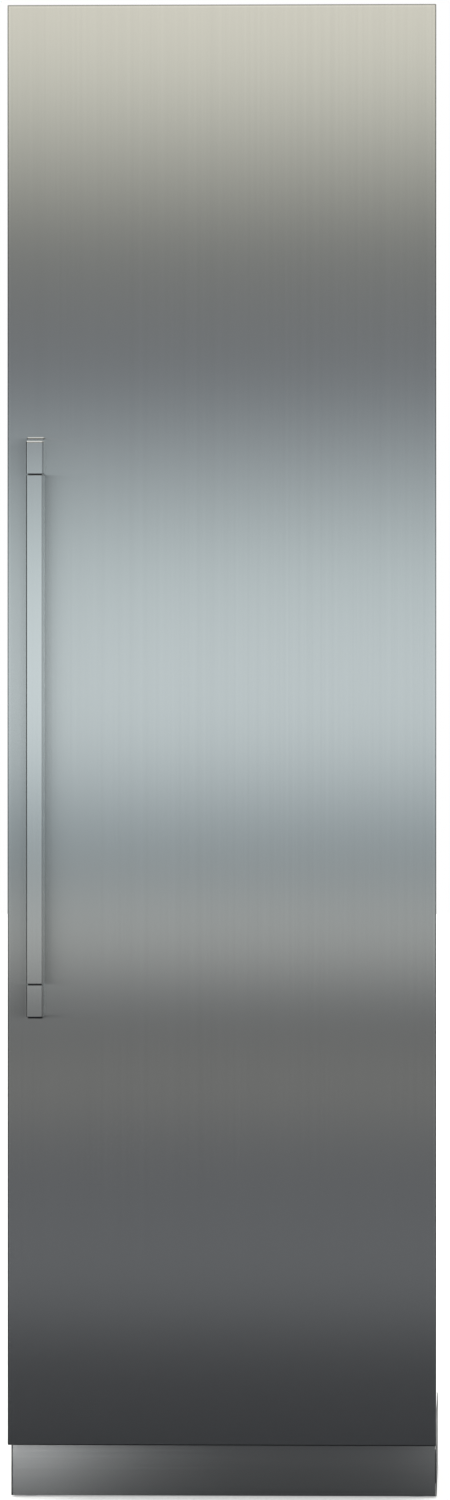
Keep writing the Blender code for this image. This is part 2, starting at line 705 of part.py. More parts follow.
# Machine niche
def compressor():
    """Compressor can on its mounting plate."""
    plate = box('compressor', centred(-CAN_SIDE_OFFSET, CAN_PLATE_SIDE), centred(NICHE_MIDDLE, CAN_PLATE_SIDE),
                (MACHINE_FLOOR, MACHINE_FLOOR + CAN_PLATE))
    low = MACHINE_FLOOR + CAN_PLATE / 2
    top = low + CAN_HEIGHT
    profile = [(0, low), (CAN_RADIUS, low)]
    for step in range(BEND_STEPS + 1):
        angle = math.pi / 2 * step / BEND_STEPS
        profile.append((CAN_RADIUS - CAN_ROUNDING + CAN_ROUNDING * math.cos(angle),
                        top - CAN_ROUNDING + CAN_ROUNDING * math.sin(angle)))
    profile.append((0, top))
    can = turned('join_can', profile, (-CAN_SIDE_OFFSET, NICHE_MIDDLE), 'Z')
    return join(plate, can)


def fan_shroud():
    """Square shroud with a round mouth, a crossed support and the motor with its shaft."""
    front = SHROUD_OFFSET
    back = front + SHROUD_DEPTH
    shroud = box('condenser_fan_shroud', (front, back), centred(NICHE_MIDDLE, SHROUD_SIDE),
                 (MACHINE_FLOOR, MACHINE_FLOOR + SHROUD_SIDE))
    centre = (NICHE_MIDDLE, SHROUD_CENTRE)
    mouth = turned('cut_mouth', rod(SHROUD_OPENING_RADIUS, front - CUT_OVERRUN, back + CUT_OVERRUN), centre, 'X')
    carve(shroud, mouth)
    arm = SPIDER_WIDTH / 2
    reach = SHROUD_OPENING_RADIUS + SPIDER_WIDTH
    reach = min(reach, (SHROUD_OPENING_RADIUS + SHROUD_SIDE / 2) / 2)
    cross = [(-reach, -arm), (-arm, -arm), (-arm, -reach), (arm, -reach), (arm, -arm), (reach, -arm),
             (reach, arm), (arm, arm), (arm, reach), (-arm, reach), (-arm, arm), (-reach, arm)]
    spider_front = front + FIT_GAP
    join(shroud, prism('join_spider', [(centre[0] + a, centre[1] + b) for a, b in cross],
                       (spider_front, spider_front + SPIDER_DEPTH), 'X'))
    seat = spider_front + SPIDER_DEPTH
    profile = [(0, spider_front + SPIDER_DEPTH / 2), (MOTOR_RADIUS, spider_front + SPIDER_DEPTH / 2),
               (MOTOR_RADIUS, seat + FIT_GAP), (SHAFT_RADIUS, seat + FIT_GAP),
               (SHAFT_RADIUS, seat + ROTOR_DEPTH), (0, seat + ROTOR_DEPTH)]
    return join(shroud, turned('join_motor', profile, centre, 'X', SMALL_STEPS))


def rotor(name, centre, axis, low, depth, radius, hub):
    """Fan wheel: a bored hub with pitched blades."""
    high = low + depth
    bore = SHAFT_RADIUS + FIT_GAP
    wheel = turned(name, [(bore, low), (hub, low), (hub, high), (bore, high)], centre, axis, SMALL_STEPS)
    blades = bmesh.new()
    chord = (depth - 2 * BLADE_SHEET) / math.cos(math.radians(BLADE_PITCH_DEG))
    root = (bore + hub) / 2
    for blade in range(ROTOR_BLADES):
        single = bmesh.new()
        add_box(single, centred(0, BLADE_SHEET), (root, radius), centred(0, chord))
        pitch = Matrix.Rotation(math.radians(BLADE_PITCH_DEG), 3, 'Y')
        turn = Matrix.Rotation(2 * math.pi * blade / ROTOR_BLADES, 3, 'Z')
        for corner in single.verts:
            local = turn @ (pitch @ corner.co)
            corner.co = place(axis, centre[0] + local.x, centre[1] + local.y, low + depth / 2 + local.z)
        spare = bpy.data.meshes.new('blade')
        single.to_mesh(spare)
        single.free()
        blades.from_mesh(spare)
        bpy.data.meshes.remove(spare)
    return join(wheel, finished('join_blades', blades))


def condenser():
    """Serpentine tube in layers, held by two upright plates on the pan."""
    half = CONDENSER_LENGTH / 2
    pitch = CONDENSER_PITCH
    low = MACHINE_FLOOR + CONDENSER_LIFT
    points = []
    for layer in range(CONDENSER_LAYERS):
        x = CONDENSER_OFFSET + (layer - (CONDENSER_LAYERS - 1) / 2) * CONDENSER_LAYER_PITCH
        for step in range(CONDENSER_PASSES):
            level = step if layer % 2 == 0 else CONDENSER_PASSES - 1 - step
            z = low + level * pitch
            out = 1 if (step + layer * CONDENSER_PASSES) % 2 == 0 else -1
            points += [(x, NICHE_MIDDLE - out * half, z), (x, NICHE_MIDDLE + out * half, z)]
            last = step == CONDENSER_PASSES - 1
            if last and layer == CONDENSER_LAYERS - 1:
                continue
            spread = CONDENSER_LAYER_PITCH if last else pitch
            climb = 1 if layer % 2 == 0 else -1
            for bend in range(1, BEND_STEPS):
                angle = math.pi * bend / BEND_STEPS
                along = spread / 2 * (1 - math.cos(angle))
                bulge = NICHE_MIDDLE + out * (half + pitch / 2 * math.sin(angle))
                points.append((x + along, bulge, z) if last else (x, bulge, z + climb * along))
    path = bpy.data.curves.new('condenser_path', 'CURVE')
    path.dimensions = '3D'
    path.bevel_depth = CONDENSER_TUBE_RADIUS
    path.bevel_resolution = TUBE_RESOLUTION
    path.use_fill_caps = True
    run = path.splines.new('POLY')
    run.points.add(len(points) - 1)
    for place_on, point in zip(run.points, points):
        place_on.co = (*point, 1)
    bent = bpy.data.objects.new('condenser_run', path)
    bpy.context.scene.collection.objects.link(bent)
    bpy.context.view_layer.update()
    mesh = bmesh.new()
    tube = bpy.data.meshes.new_from_object(bent.evaluated_get(bpy.context.evaluated_depsgraph_get()))
    mesh.from_mesh(tube)
    bmesh.ops.remove_doubles(mesh, verts=mesh.verts, dist=MERGE_DISTANCE)
    bpy.data.objects.remove(bent)
    coil = finished('condenser', mesh, 50)
    tube_reach = CONDENSER_TUBE_RADIUS * 2
    x_span = (CONDENSER_OFFSET - CONDENSER_HALF, CONDENSER_OFFSET + CONDENSER_HALF)
    top = low + (CONDENSER_PASSES - 1) * pitch + tube_reach
    plates = [(x_span, centred(NICHE_MIDDLE + side * half * CONDENSER_PLATE_SHARE, CONDENSER_PLATE),
               (MACHINE_FLOOR, top)) for side in (-1, 1)]
    return join(coil, boxes('join_plates', plates))


def inlet_height():
    """Middle height of the mains inlet."""
    return MACHINE_FLOOR + CONTROL_BOX_LIFT + CONTROL_BOX_HEIGHT / 2


def control_box():
    """Electrical box behind the cover, with its mains inlet flush with the back."""
    back = CABINET_BACK - MACHINE_COVER_SHEET - FIT_GAP
    low = MACHINE_FLOOR + CONTROL_BOX_LIFT
    body = box('control_box', centred(0, CONTROL_BOX_WIDTH), (back - CONTROL_BOX_DEPTH, back),
               (low, low + CONTROL_BOX_HEIGHT))
    collar_front = back - INLET_DEPTH
    join(body, box('join_inlet', centred(0, INLET_WIDTH), (collar_front, CABINET_BACK - FIT_GAP),
                   centred(inlet_height(), INLET_HEIGHT)))
    return carve(body, box('cut_socket', centred(0, INLET_WIDTH - 2 * INLET_WALL),
                           (collar_front, CABINET_BACK + CUT_OVERRUN),
                           centred(inlet_height(), INLET_HEIGHT - 2 * INLET_WALL)))


# Hinges
def hinge_plate(name, low):
    """Flat hinge plate with a rounded nose about the axis and a hole for the pin."""
    nose = HINGE_PLATE_NOSE
    start = math.pi
    end = 2 * math.pi - math.acos(HINGE_PLATE_OUTER / nose)
    outline = []
    for step in range(ROUND_STEPS // 2 + 1):
        angle = start + (end - start) * step / (ROUND_STEPS // 2)
        outline.append((HINGE_X + nose * math.cos(angle), HINGE_Y + nose * math.sin(angle)))
    tail = HINGE_Y + HINGE_PLATE_REACH
    outline += [(HINGE_X + HINGE_PLATE_OUTER, tail), (HINGE_X - HINGE_PLATE_INNER, tail),
                (HINGE_X - HINGE_PLATE_INNER, HINGE_Y + nose)]
    plate = prism(name, outline, (low, low + HINGE_PLATE), 'Z')
    hole = turned('cut_' + name, rod(PIN_RADIUS + FIT_GAP, low - CUT_OVERRUN, low + HINGE_PLATE + CUT_OVERRUN),
                  (HINGE_X, HINGE_Y), 'Z')
    return carve(plate, hole)


def hinge_pin(name, plate_face, inward):
    """Headed pin from the plate's outer face into the door; inward is -1 from above, 1 from below."""
    head = plate_face - inward * FIT_GAP
    length = HINGE_PLATE + CORE_CLEARANCE + BUSH_LENGTH
    profile = [(0, head - inward * PIN_HEAD_HEIGHT), (PIN_HEAD_RADIUS, head - inward * PIN_HEAD_HEIGHT),
               (PIN_HEAD_RADIUS, head), (PIN_RADIUS, head), (PIN_RADIUS, head + inward * length),
               (0, head + inward * length)]
    return turned(name, profile, (HINGE_X, HINGE_Y), 'Z')


def hinge_bush(name, face, inward):
    """Flanged bush in the door's bore; face is the end of the core."""
    outer = face - inward * FIT_GAP
    flange = face - inward * CORE_CLEARANCE
    bore = PIN_RADIUS + FIT_GAP
    profile = [(bore, flange), (BUSH_FLANGE_RADIUS, flange), (BUSH_FLANGE_RADIUS, outer),
               (BUSH_RADIUS, outer), (BUSH_RADIUS, face + inward * BUSH_LENGTH),
               (bore, face + inward * BUSH_LENGTH)]
    return turned(name, profile, (HINGE_X, HINGE_Y), 'Z')


# Cold air system
def air_duct():
    """Moulded cover on the back wall, open at the foot, with outlet slots and a guard for the fan."""
    back = DUCT_FRONT + DUCT_DEPTH
    cover = box('air_duct', (-DUCT_HALF_WIDTH, DUCT_HALF_WIDTH), (DUCT_FRONT, back), (DUCT_BOTTOM, DUCT_TOP))
    half = DUCT_HALF_WIDTH - DUCT_SHEET
    carve(cover, box('cut_duct', (-half, half), (DUCT_FRONT + DUCT_SHEET, back + CUT_OVERRUN),
                     (DUCT_BOTTOM - CUT_OVERRUN, DUCT_TOP - DUCT_SHEET)))
    through = (DUCT_FRONT - CUT_OVERRUN, DUCT_FRONT + DUCT_SHEET + CUT_OVERRUN)
    slots = bmesh.new()
    heights = [shelf_height(index) + SHELF_PITCH / 2 for index in range(SHELF_COUNT)]
    for height in heights:
        for side in (-1, 1):
            add_box(slots, centred(side * DUCT_SLOT_OFFSET, DUCT_SLOT_WIDTH), through,
                    centred(height, DUCT_SLOT_HEIGHT))
    for spoke in range(DUCT_FAN_SPOKES):
        add_prism(slots, guard_slot(spoke), through, 'Y')
    carve(cover, finished('cut_duct_slots', slots))
    start = DUCT_FRONT + DUCT_SHEET / 2
    shaft_end = DUCT_FRONT + DUCT_SHEET + FAN_SHEET_GAP + AIR_ROTOR_DEPTH
    profile = [(0, start), (ROTOR_HUB_RADIUS / 2, start), (ROTOR_HUB_RADIUS / 2, air_rotor_front() - FIT_GAP),
               (SHAFT_RADIUS, air_rotor_front() - FIT_GAP), (SHAFT_RADIUS, shaft_end), (0, shaft_end)]
    return join(cover, turned('join_fan_shaft', profile, (0, FAN_HEIGHT), 'Y', SMALL_STEPS))


def air_rotor_front():
    """Front face of the cold air fan's wheel, behind the guard."""
    return DUCT_FRONT + DUCT_SHEET + FAN_SHEET_GAP


def guard_slot(spoke):
    """Outline of one opening between two spokes of the fan guard."""
    pitch = 2 * math.pi / DUCT_FAN_SPOKES
    start = pitch * (spoke + DUCT_SPOKE_SHARE / 2)
    sweep = pitch * (1 - DUCT_SPOKE_SHARE)
    outline = []
    for radius, steps in ((DUCT_FAN_HUB, range(3)), (DUCT_FAN_RADIUS, range(2, -1, -1))):
        for step in steps:
            angle = start + sweep * step / 2
            outline.append((radius * math.cos(angle), FAN_HEIGHT + radius * math.sin(angle)))
    return outline


def evaporator():
    """Finned block behind the duct: a spine on the back wall with upright fins."""
    back = ROOM_BACK - FIT_GAP
    spine = back - EVAPORATOR_SPINE
    front = back - EVAPORATOR_DEPTH
    outline = [(EVAPORATOR_HALF_WIDTH, back), (-EVAPORATOR_HALF_WIDTH, back)]
    pitch = (2 * EVAPORATOR_HALF_WIDTH - FIN_SHEET) / (EVAPORATOR_FINS - 1)
    for fin in range(EVAPORATOR_FINS):
        left = -EVAPORATOR_HALF_WIDTH + fin * pitch
        if fin:
            outline.append((left, spine))
        outline += [(left, front), (left + FIN_SHEET, front)]
        if fin < EVAPORATOR_FINS - 1:
            outline.append((left + FIN_SHEET, spine))
    low = DUCT_BOTTOM + EVAPORATOR_LIFT
    return prism('evaporator', outline, (low, low + EVAPORATOR_HEIGHT), 'Z')


def light_strip(name, side):
    """Upright light on a side wall, in front of the shelves."""
    front = CABINET_FRONT + LIGHT_SETBACK
    face = ROOM_HALF - FIT_GAP
    return box(name, mirrored(side, face - LIGHT_DEPTH, face), (front, front + LIGHT_WIDTH),
               (COVER_BOTTOM + LIGHT_MARGIN, ROOM_TOP - LIGHT_MARGIN))


def control_panel():
    """Control housing under the ceiling."""
    front = CABINET_FRONT + PANEL_SETBACK
    top = ROOM_TOP - FIT_GAP
    return box('control_panel', centred(0, PANEL_WIDTH), (front, front + PANEL_DEPTH), (top - PANEL_HEIGHT, top))


# Shelves
def shelf_glass(index):
    """Glass plate of a full shelf, behind its front trim."""
    low = shelf_height(index)
    return box('shelf_glass_%d' % (index + 1), (-SHELF_HALF, SHELF_HALF),
               (GLASS_FRONT, SHELF_BACK), (low, low + SHELF_GLASS))


def shelf_trim(index):
    """Front trim of a full shelf."""
    top = shelf_height(index) + SHELF_GLASS + EDGE_SOFTENING
    trim = box('shelf_trim_%d' % (index + 1), (-SHELF_HALF, SHELF_HALF),
               (SHELF_FRONT, SHELF_FRONT + SHELF_TRIM_DEPTH), (top - SHELF_TRIM_HEIGHT, top))
    return soften(trim, EDGE_SOFTENING)


def split_shelf_rear():
    """Fixed rear plate of the split shelf."""
    low = shelf_height(SPLIT_SHELF_INDEX)
    return box('split_shelf_rear', (-SHELF_HALF, SHELF_HALF), (SPLIT_REAR_FRONT, SHELF_BACK),
               (low, low + SHELF_GLASS))


def split_shelf_front():
    """Front plate of the split shelf, which slides back under the rear one."""
    low = shelf_height(SPLIT_SHELF_INDEX) - SPLIT_DROP
    return box('split_shelf_front', (-SPLIT_HALF, SPLIT_HALF),
               (SHELF_FRONT, SPLIT_REAR_FRONT - SPLIT_CLEARANCE), (low, low + SHELF_GLASS))


# Drawers
def bin_back(step):
    """Back plane of a drawer: before the step below, before the duct above."""
    return (STEP_FACE if step else DUCT_FRONT) - BIN_BACK_GAP


def runner_top(low, height):
    """Upper face of the runners on a drawer."""
    return low + height - RUNNER_DROP


def drawer_bin(name, low, height, back):
    """Open drawer with a runner on each side."""
    half = BIN_HALF_WIDTH
    tray = box(name, (-half, half), (BIN_FRONT, back), (low, low + height))
    inner = half - BIN_WALL
    carve(tray, box('cut_' + name, (-inner, inner), (BIN_FRONT + BIN_WALL, back - BIN_WALL),
                    (low + BIN_WALL, low + height + CUT_OVERRUN)))
    top = runner_top(low, height)
    runners = [(mirrored(side, half - BIN_WALL / 2, half + RUNNER_REACH), (FRONT_PLANE + RUNNER_SETBACK, back),
                (top - RUNNER_HEIGHT, top)) for side in (-1, 1)]
    return join(tray, boxes('join_runners', runners))


def drawer_front(name, low, height):
    """Drawer front with a grip lip along its top."""
    top = low + height + FRONT_OVERHANG
    inner = FRONT_PLANE + FRONT_SHEET
    outline = [(FRONT_PLANE, low), (FRONT_PLANE, top - GRIP_HEIGHT), (FRONT_PLANE - GRIP_REACH, top - GRIP_HEIGHT),
               (FRONT_PLANE - GRIP_REACH, top), (inner, top), (inner, low)]
    face = prism(name, outline, (-FRONT_HALF_WIDTH, FRONT_HALF_WIDTH), 'X')
    return soften(face, 2 * EDGE_SOFTENING)


def drawer_rail(name, side, low, height, back):
    """Channel on the liner wall in which a drawer's runner slides."""
    root = ROOM_HALF - FIT_GAP
    lip = root - RAIL_CHANNEL_WIDTH
    web = root - RAIL_CHANNEL_WALL
    bottom = runner_top(low, height) - RUNNER_HEIGHT - RUNNER_CLEARANCE - RAIL_CHANNEL_WALL
    top = bottom + RAIL_CHANNEL_HEIGHT
    outline = [(lip, bottom), (root, bottom), (root, top), (lip, top), (lip, top - RAIL_CHANNEL_WALL),
               (web, top - RAIL_CHANNEL_WALL), (web, bottom + RAIL_CHANNEL_WALL),
               (lip, bottom + RAIL_CHANNEL_WALL)]
    return prism(name, [(side * x, z) for x, z in outline], (FRONT_PLANE + RUNNER_SETBACK, back), 'Y')


def drawer_cover():
    """Plate over the upper drawer."""
    return box('drawer_cover', (-SHELF_HALF, SHELF_HALF), (CABINET_FRONT + COVER_SETBACK, SHELF_BACK),
               (COVER_BOTTOM, COVER_BOTTOM + COVER_SHEET))


# Door
def door_skin():
    """Stainless pan: the front with its folded edges, open to the back."""
    half = DOOR_WIDTH / 2
    mesh = bmesh.new()
    add_box(mesh, (-half, half), (DOOR_FRONT, SKIN_BACK), (DOOR_BOTTOM, DOOR_TOP))
    middle = (DOOR_FRONT + SKIN_BACK) / 2
    outer = [edge for edge in mesh.edges if min(corner.co.y for corner in edge.verts) < middle]
    bmesh.ops.bevel(mesh, geom=outer, offset=SKIN_EDGE_RADIUS, segments=BEVEL_STEPS, profile=0.5,
                    affect='EDGES', clamp_overlap=True)
    pan = finished('door_skin', mesh, 50)
    inner = half - SKIN_SHEET
    return carve(pan, box('cut_skin', (-inner, inner), (DOOR_FRONT + SKIN_SHEET, SKIN_BACK + CUT_OVERRUN),
                          (DOOR_BOTTOM + SKIN_SHEET, DOOR_TOP - SKIN_SHEET)))


def door_core():
    """Foamed door body: the block inside the pan and the narrower slab behind it."""
    play = SKIN_SHEET + FIT_GAP
    half = DOOR_WIDTH / 2 - play
    core = box('door_core', (-half, half), (DOOR_FRONT + play, SKIN_BACK), (DOOR_BOTTOM + play, DOOR_TOP - play))
    join(core, box('join_slab', centred(0, CORE_WIDTH), (SKIN_BACK - SKIN_DEPTH / 2, CORE_BACK),
                   (CORE_BOTTOM, CORE_TOP)))
    bores = bmesh.new()
    depth = BUSH_LENGTH + 2 * FIT_GAP
    radius = BUSH_RADIUS + FIT_GAP
    for span in ((CORE_BOTTOM - CUT_OVERRUN, CORE_BOTTOM + depth), (CORE_TOP - depth, CORE_TOP + CUT_OVERRUN)):
        add_turned(bores, rod(radius, *span), (HINGE_X, HINGE_Y), 'Z')
    return carve(core, finished('cut_bores', bores))


def seal_outline(inset):
    """Half width and heights of a rectangle inset from the core's edge."""
    half = CORE_WIDTH / 2 - inset
    return (-half, half), (CORE_BOTTOM + inset, CORE_TOP - inset)


def door_gasket():
    """Seal around the inside of the door."""
    near, far = CORE_BACK + FIT_GAP, CABINET_FRONT - FIT_GAP
    x_span, z_span = seal_outline(SEAL_MARGIN)
    seal = box('door_gasket', x_span, (near, far), z_span)
    x_inner, z_inner = seal_outline(SEAL_MARGIN + SEAL_WIDTH)
    return carve(seal, box('cut_gasket', x_inner, (near - CUT_OVERRUN, far + CUT_OVERRUN), z_inner))


def hook_low(index):
    """Underside of a rack's side hooks."""
    return rack_height(index) + HOOK_LIFT


def door_liner():
    """Inner door plate with two upright dikes and their ledges for the racks."""
    x_span, z_span = seal_outline(SEAL_MARGIN + SEAL_WIDTH + FIT_GAP)
    plate = box('door_liner', x_span, (CORE_BACK + FIT_GAP, DOOR_LINER_FACE), z_span)
    outer = DIKE_OUTER
    inner = DIKE_INNER
    dikes = bmesh.new()
    for side in (-1, 1):
        outline = [(outer, DIKE_START), (inner, DIKE_START)]
        for index in range(RACK_COUNT):
            top = hook_low(index) - FIT_GAP
            outline += [(inner, top - LUG_HEIGHT), (inner - LUG_REACH, top - LUG_HEIGHT),
                        (inner - LUG_REACH, top), (inner, top)]
        outline += [(inner, DIKE_END), (outer, DIKE_END)]
        add_prism(dikes, [(side * x, z) for x, z in outline],
                  (DOOR_LINER_FACE - DOOR_LINER_SHEET / 2, DOOR_LINER_FACE + DIKE_DEPTH), 'Y')
    return join(plate, finished('join_dikes', dikes))


def door_rack(index):
    """Lift-off rack with a hook on each end that rests on the dike's ledge."""
    low = rack_height(index)
    half = RACK_HALF_WIDTH
    back = RACK_FRONT + RACK_DEPTH
    rack = box('door_rack_%d' % (index + 1), (-half, half), (RACK_FRONT, back), (low, low + RACK_HEIGHT))
    inner = half - RACK_WALL
    carve(rack, box('cut_rack_%d' % (index + 1), (-inner, inner), (RACK_FRONT + RACK_WALL, back - RACK_WALL),
                    (low + RACK_WALL, low + RACK_HEIGHT + CUT_OVERRUN)))
    hook_front = RACK_FRONT + HOOK_INSET
    hooks = [(mirrored(side, half - RACK_WALL / 2, half + HOOK_REACH), (hook_front, hook_front + HOOK_DEPTH),
              (hook_low(index), hook_low(index) + HOOK_HEIGHT)) for side in (-1, 1)]
    return join(rack, boxes('join_hooks_%d' % (index + 1), hooks))


# Handle
def bar_span():
    """Ends of the middle bar, between the two seams."""
    return (HANDLE_FOOT + LOWER_POST + HANDLE_SEAM,
            HANDLE_FOOT + HANDLE_LENGTH - UPPER_POST - HANDLE_SEAM)


def tenon_spans(growth):
    """Width and depth of the tenons, grown for their sockets."""
    width = TENON_WIDTH + 2 * growth
    return centred(-HANDLE_CENTRE, width), centred((HANDLE_FRONT + HANDLE_BACK) / 2, width)


def handle_bar():
    """Square bar with a tenon at each end."""
    low, high = bar_span()
    bar = box('handle_bar', centred(-HANDLE_CENTRE, HANDLE_BAR), (HANDLE_FRONT, HANDLE_BACK), (low, high))
    soften(bar, HANDLE_EDGE)
    x_span, y_span = tenon_spans(0)
    depth = HANDLE_EDGE + CUT_OVERRUN
    tenons = [(x_span, y_span, (low - TENON_LENGTH, low + depth)),
              (x_span, y_span, (high - depth, high + TENON_LENGTH))]
    return join(bar, boxes('join_tenons', tenons))


def handle_post(name, upper):
    """End post: a front block in line with the bar and a longer leg to the door."""
    low, high = bar_span()
    end = HANDLE_FOOT + HANDLE_LENGTH if upper else HANDLE_FOOT
    inner = high + HANDLE_SEAM if upper else low - HANDLE_SEAM
    outward = 1 if upper else -1
    leg_end = end + outward * POST_STEP
    back = DOOR_FRONT - FIT_GAP
    outline = [(HANDLE_FRONT, end), (HANDLE_FRONT, inner), (back, inner), (back, leg_end),
               (HANDLE_BACK, leg_end), (HANDLE_BACK, end)]
    post = prism(name, outline, centred(-HANDLE_CENTRE, HANDLE_BAR), 'X')
    soften(post, HANDLE_EDGE)
    x_span, y_span = tenon_spans(FIT_GAP)
    z_span = sorted((inner - outward * CUT_OVERRUN, inner + outward * TENON_LENGTH))
    return carve(post, box('cut_' + name, x_span, y_span, z_span))


def build_cabinet():
    """Everything that stays with the cabinet."""
    steel = (side_panel('side_panel_left', -1), side_panel('side_panel_right', 1), top_panel())
    for sheet in steel:
        dress(sheet, PAINTED_GREY)
    dress(back_panel(), STEEL_ZINC)
    dress(machine_cover(), STEEL_ZINC)
    dress(insulation(), FOAM)
    dress(inner_liner(), LINER_WHITE)
    dress(base_rail('base_rail_left', -1), PAINTED_BLACK)
    dress(base_rail('base_rail_right', 1), PAINTED_BLACK)
    dress(base_pan(), STEEL_ZINC)
    dress(toe_kick(), STEEL_KICK)
    dress(compressor(), PAINTED_BLACK)
    dress(condenser(), PAINTED_BLACK)
    dress(fan_shroud(), GREY_PLASTIC)
    dress(control_box(), GREY_PLASTIC)
    plate_low = CABINET_TOP + FIT_GAP
    dress(hinge_plate('hinge_plate_top', plate_low), STEEL_ZINC)
    dress(hinge_pin('hinge_pin_top', plate_low + HINGE_PLATE, -1), STEEL_ZINC)
    plate_high = BASE_HEIGHT - FIT_GAP
    dress(hinge_plate('hinge_plate_bottom', plate_high - HINGE_PLATE), STEEL_ZINC)
    dress(hinge_pin('hinge_pin_bottom', plate_high - HINGE_PLATE, 1), STEEL_ZINC)


def build_interior():
    """Fittings inside the liner that don't move."""
    dress(air_duct(), WHITE_PLASTIC)
    dress(evaporator(), ALUMINIUM)
    dress(light_strip('light_strip_left', -1), LIGHT_DIFFUSER)
    dress(light_strip('light_strip_right', 1), LIGHT_DIFFUSER)
    dress(control_panel(), GREY_PLASTIC)
    dress(drawer_cover(), GLASS)
    for index in range(SHELF_COUNT):
        if index == SPLIT_SHELF_INDEX:
            dress(split_shelf_rear(), GLASS)
        else:
            dress(shelf_glass(index), GLASS)
            dress(shelf_trim(index), TRIM_SATIN)


def build_moving_fittings():
    """Sliding plate, fans, feet and drawers."""
    slide = pivot('split_shelf_slide', (0, SHELF_FRONT, shelf_height(SPLIT_SHELF_INDEX) - SPLIT_DROP))
    hang([dress(split_shelf_front(), GLASS)], slide)
    seat = SHROUD_OFFSET + 2 * FIT_GAP + SPIDER_DEPTH + FIT_GAP
    wheel = rotor('condenser_fan_rotor', (NICHE_MIDDLE, SHROUD_CENTRE), 'X', seat,
                  ROTOR_DEPTH - FIT_GAP, ROTOR_RADIUS, ROTOR_HUB_RADIUS)
    hang([dress(wheel, PAINTED_BLACK)], pivot('condenser_fan_axis', (seat, NICHE_MIDDLE, SHROUD_CENTRE)))
    air_wheel = rotor('evaporator_fan_rotor', (0, FAN_HEIGHT), 'Y', air_rotor_front(),
                      AIR_ROTOR_DEPTH - FIT_GAP, AIR_ROTOR_RADIUS, DUCT_FAN_HUB)
    hang([dress(air_wheel, WHITE_PLASTIC)], pivot('evaporator_fan_axis', (0, air_rotor_front(), FAN_HEIGHT)))
    names = (('front', foot_places()[0]), ('rear', foot_places()[1]))
    for end, depth in names:
        for word, side in (('left', -1), ('right', 1)):
            name = 'foot_%s_%s' % (end, word)
            screw = pivot(name + '_axis', (side * foot_offset(), depth, 0))
            hang([dress(foot(name, side, depth), STEEL_ZINC)], screw)
    drawers = (('lower', LOWER_BIN_BOTTOM, LOWER_BIN_HEIGHT, bin_back(True)),
               ('upper', UPPER_BIN_BOTTOM, UPPER_BIN_HEIGHT, bin_back(False)))
    for word, low, height, back in drawers:
        slide = pivot('drawer_slide_' + word, (0, FRONT_PLANE, low))
        tray = dress(drawer_bin('drawer_bin_' + word, low, height, back), CLEAR_PLASTIC)
        face = dress(drawer_front('drawer_front_' + word, low, height), CLEAR_PLASTIC)
        hang([tray, face], slide)
        for end, side in (('left', -1), ('right', 1)):
            dress(drawer_rail('drawer_rail_%s_%s' % (word, end), side, low, height, back), WHITE_PLASTIC)


def build_door():
    """Door, handle, bushes and racks on the hinge axis."""
    hinge = pivot('door_hinge', (HINGE_X, HINGE_Y, DOOR_BOTTOM))
    pieces = [dress(door_skin(), STEEL_DOOR), dress(door_core(), PAINTED_GREY),
              dress(door_liner(), LINER_WHITE), dress(door_gasket(), GASKET_GREY),
              dress(handle_bar(), STEEL_HANDLE), dress(handle_post('handle_post_top', True), STEEL_HANDLE),
              dress(handle_post('handle_post_bottom', False), STEEL_HANDLE),
              dress(hinge_bush('hinge_bush_top', CORE_TOP, -1), WHITE_PLASTIC),
              dress(hinge_bush('hinge_bush_bottom', CORE_BOTTOM, 1), WHITE_PLASTIC)]
    hang(pieces, hinge)
    for index in range(RACK_COUNT):
        lift = pivot('door_rack_lift_%d' % (index + 1), (0, RACK_FRONT, rack_height(index)), hinge)
        hang([dress(door_rack(index), CLEAR_PLASTIC)], lift)


def main():
    """Build the refrigerator in an empty scene."""
    for thing in list(bpy.data.objects):
        bpy.data.objects.remove(thing)
    build_cabinet()
    build_interior()
    build_moving_fittings()
    build_door()
    bpy.context.view_layer.update()


main()
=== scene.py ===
"""Finishes, fine pieces, light and camera of the column refrigerator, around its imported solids.

Metres, +X to the viewer's right, +Y from the door to the back, +Z up.
"""

import json
import math

import bmesh
import bpy
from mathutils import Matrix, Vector


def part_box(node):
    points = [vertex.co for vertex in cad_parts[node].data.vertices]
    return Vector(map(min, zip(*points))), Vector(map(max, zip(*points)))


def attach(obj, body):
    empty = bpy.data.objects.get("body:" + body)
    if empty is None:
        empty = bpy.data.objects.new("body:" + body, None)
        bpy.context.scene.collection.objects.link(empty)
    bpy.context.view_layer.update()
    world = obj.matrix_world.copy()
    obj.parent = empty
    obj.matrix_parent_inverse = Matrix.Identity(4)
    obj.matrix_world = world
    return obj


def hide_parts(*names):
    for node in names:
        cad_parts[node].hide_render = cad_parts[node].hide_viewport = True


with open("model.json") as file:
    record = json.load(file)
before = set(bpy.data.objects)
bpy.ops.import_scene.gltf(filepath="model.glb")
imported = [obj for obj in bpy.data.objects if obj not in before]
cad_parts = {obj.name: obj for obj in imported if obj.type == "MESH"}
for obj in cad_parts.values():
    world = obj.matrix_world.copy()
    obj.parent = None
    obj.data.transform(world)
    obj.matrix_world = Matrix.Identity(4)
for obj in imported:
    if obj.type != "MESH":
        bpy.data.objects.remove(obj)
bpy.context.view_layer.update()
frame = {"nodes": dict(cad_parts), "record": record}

MM = 0.001
NODES = frame["nodes"]
# Values closer than this count as the same place
NEAR = 0.1 * MM

# Camera, found from the photograph: level, far off and a little to the right of the appliance
CAMERA_SIDE = 356 * MM
CAMERA_DISTANCE = 11200 * MM
CAMERA_HEIGHT = 1061.8 * MM
CAMERA_TURN_DEG = 1.7968
CAMERA_LENS = 191.03
CAMERA_SENSOR = 36
CAMERA_REACH = 200


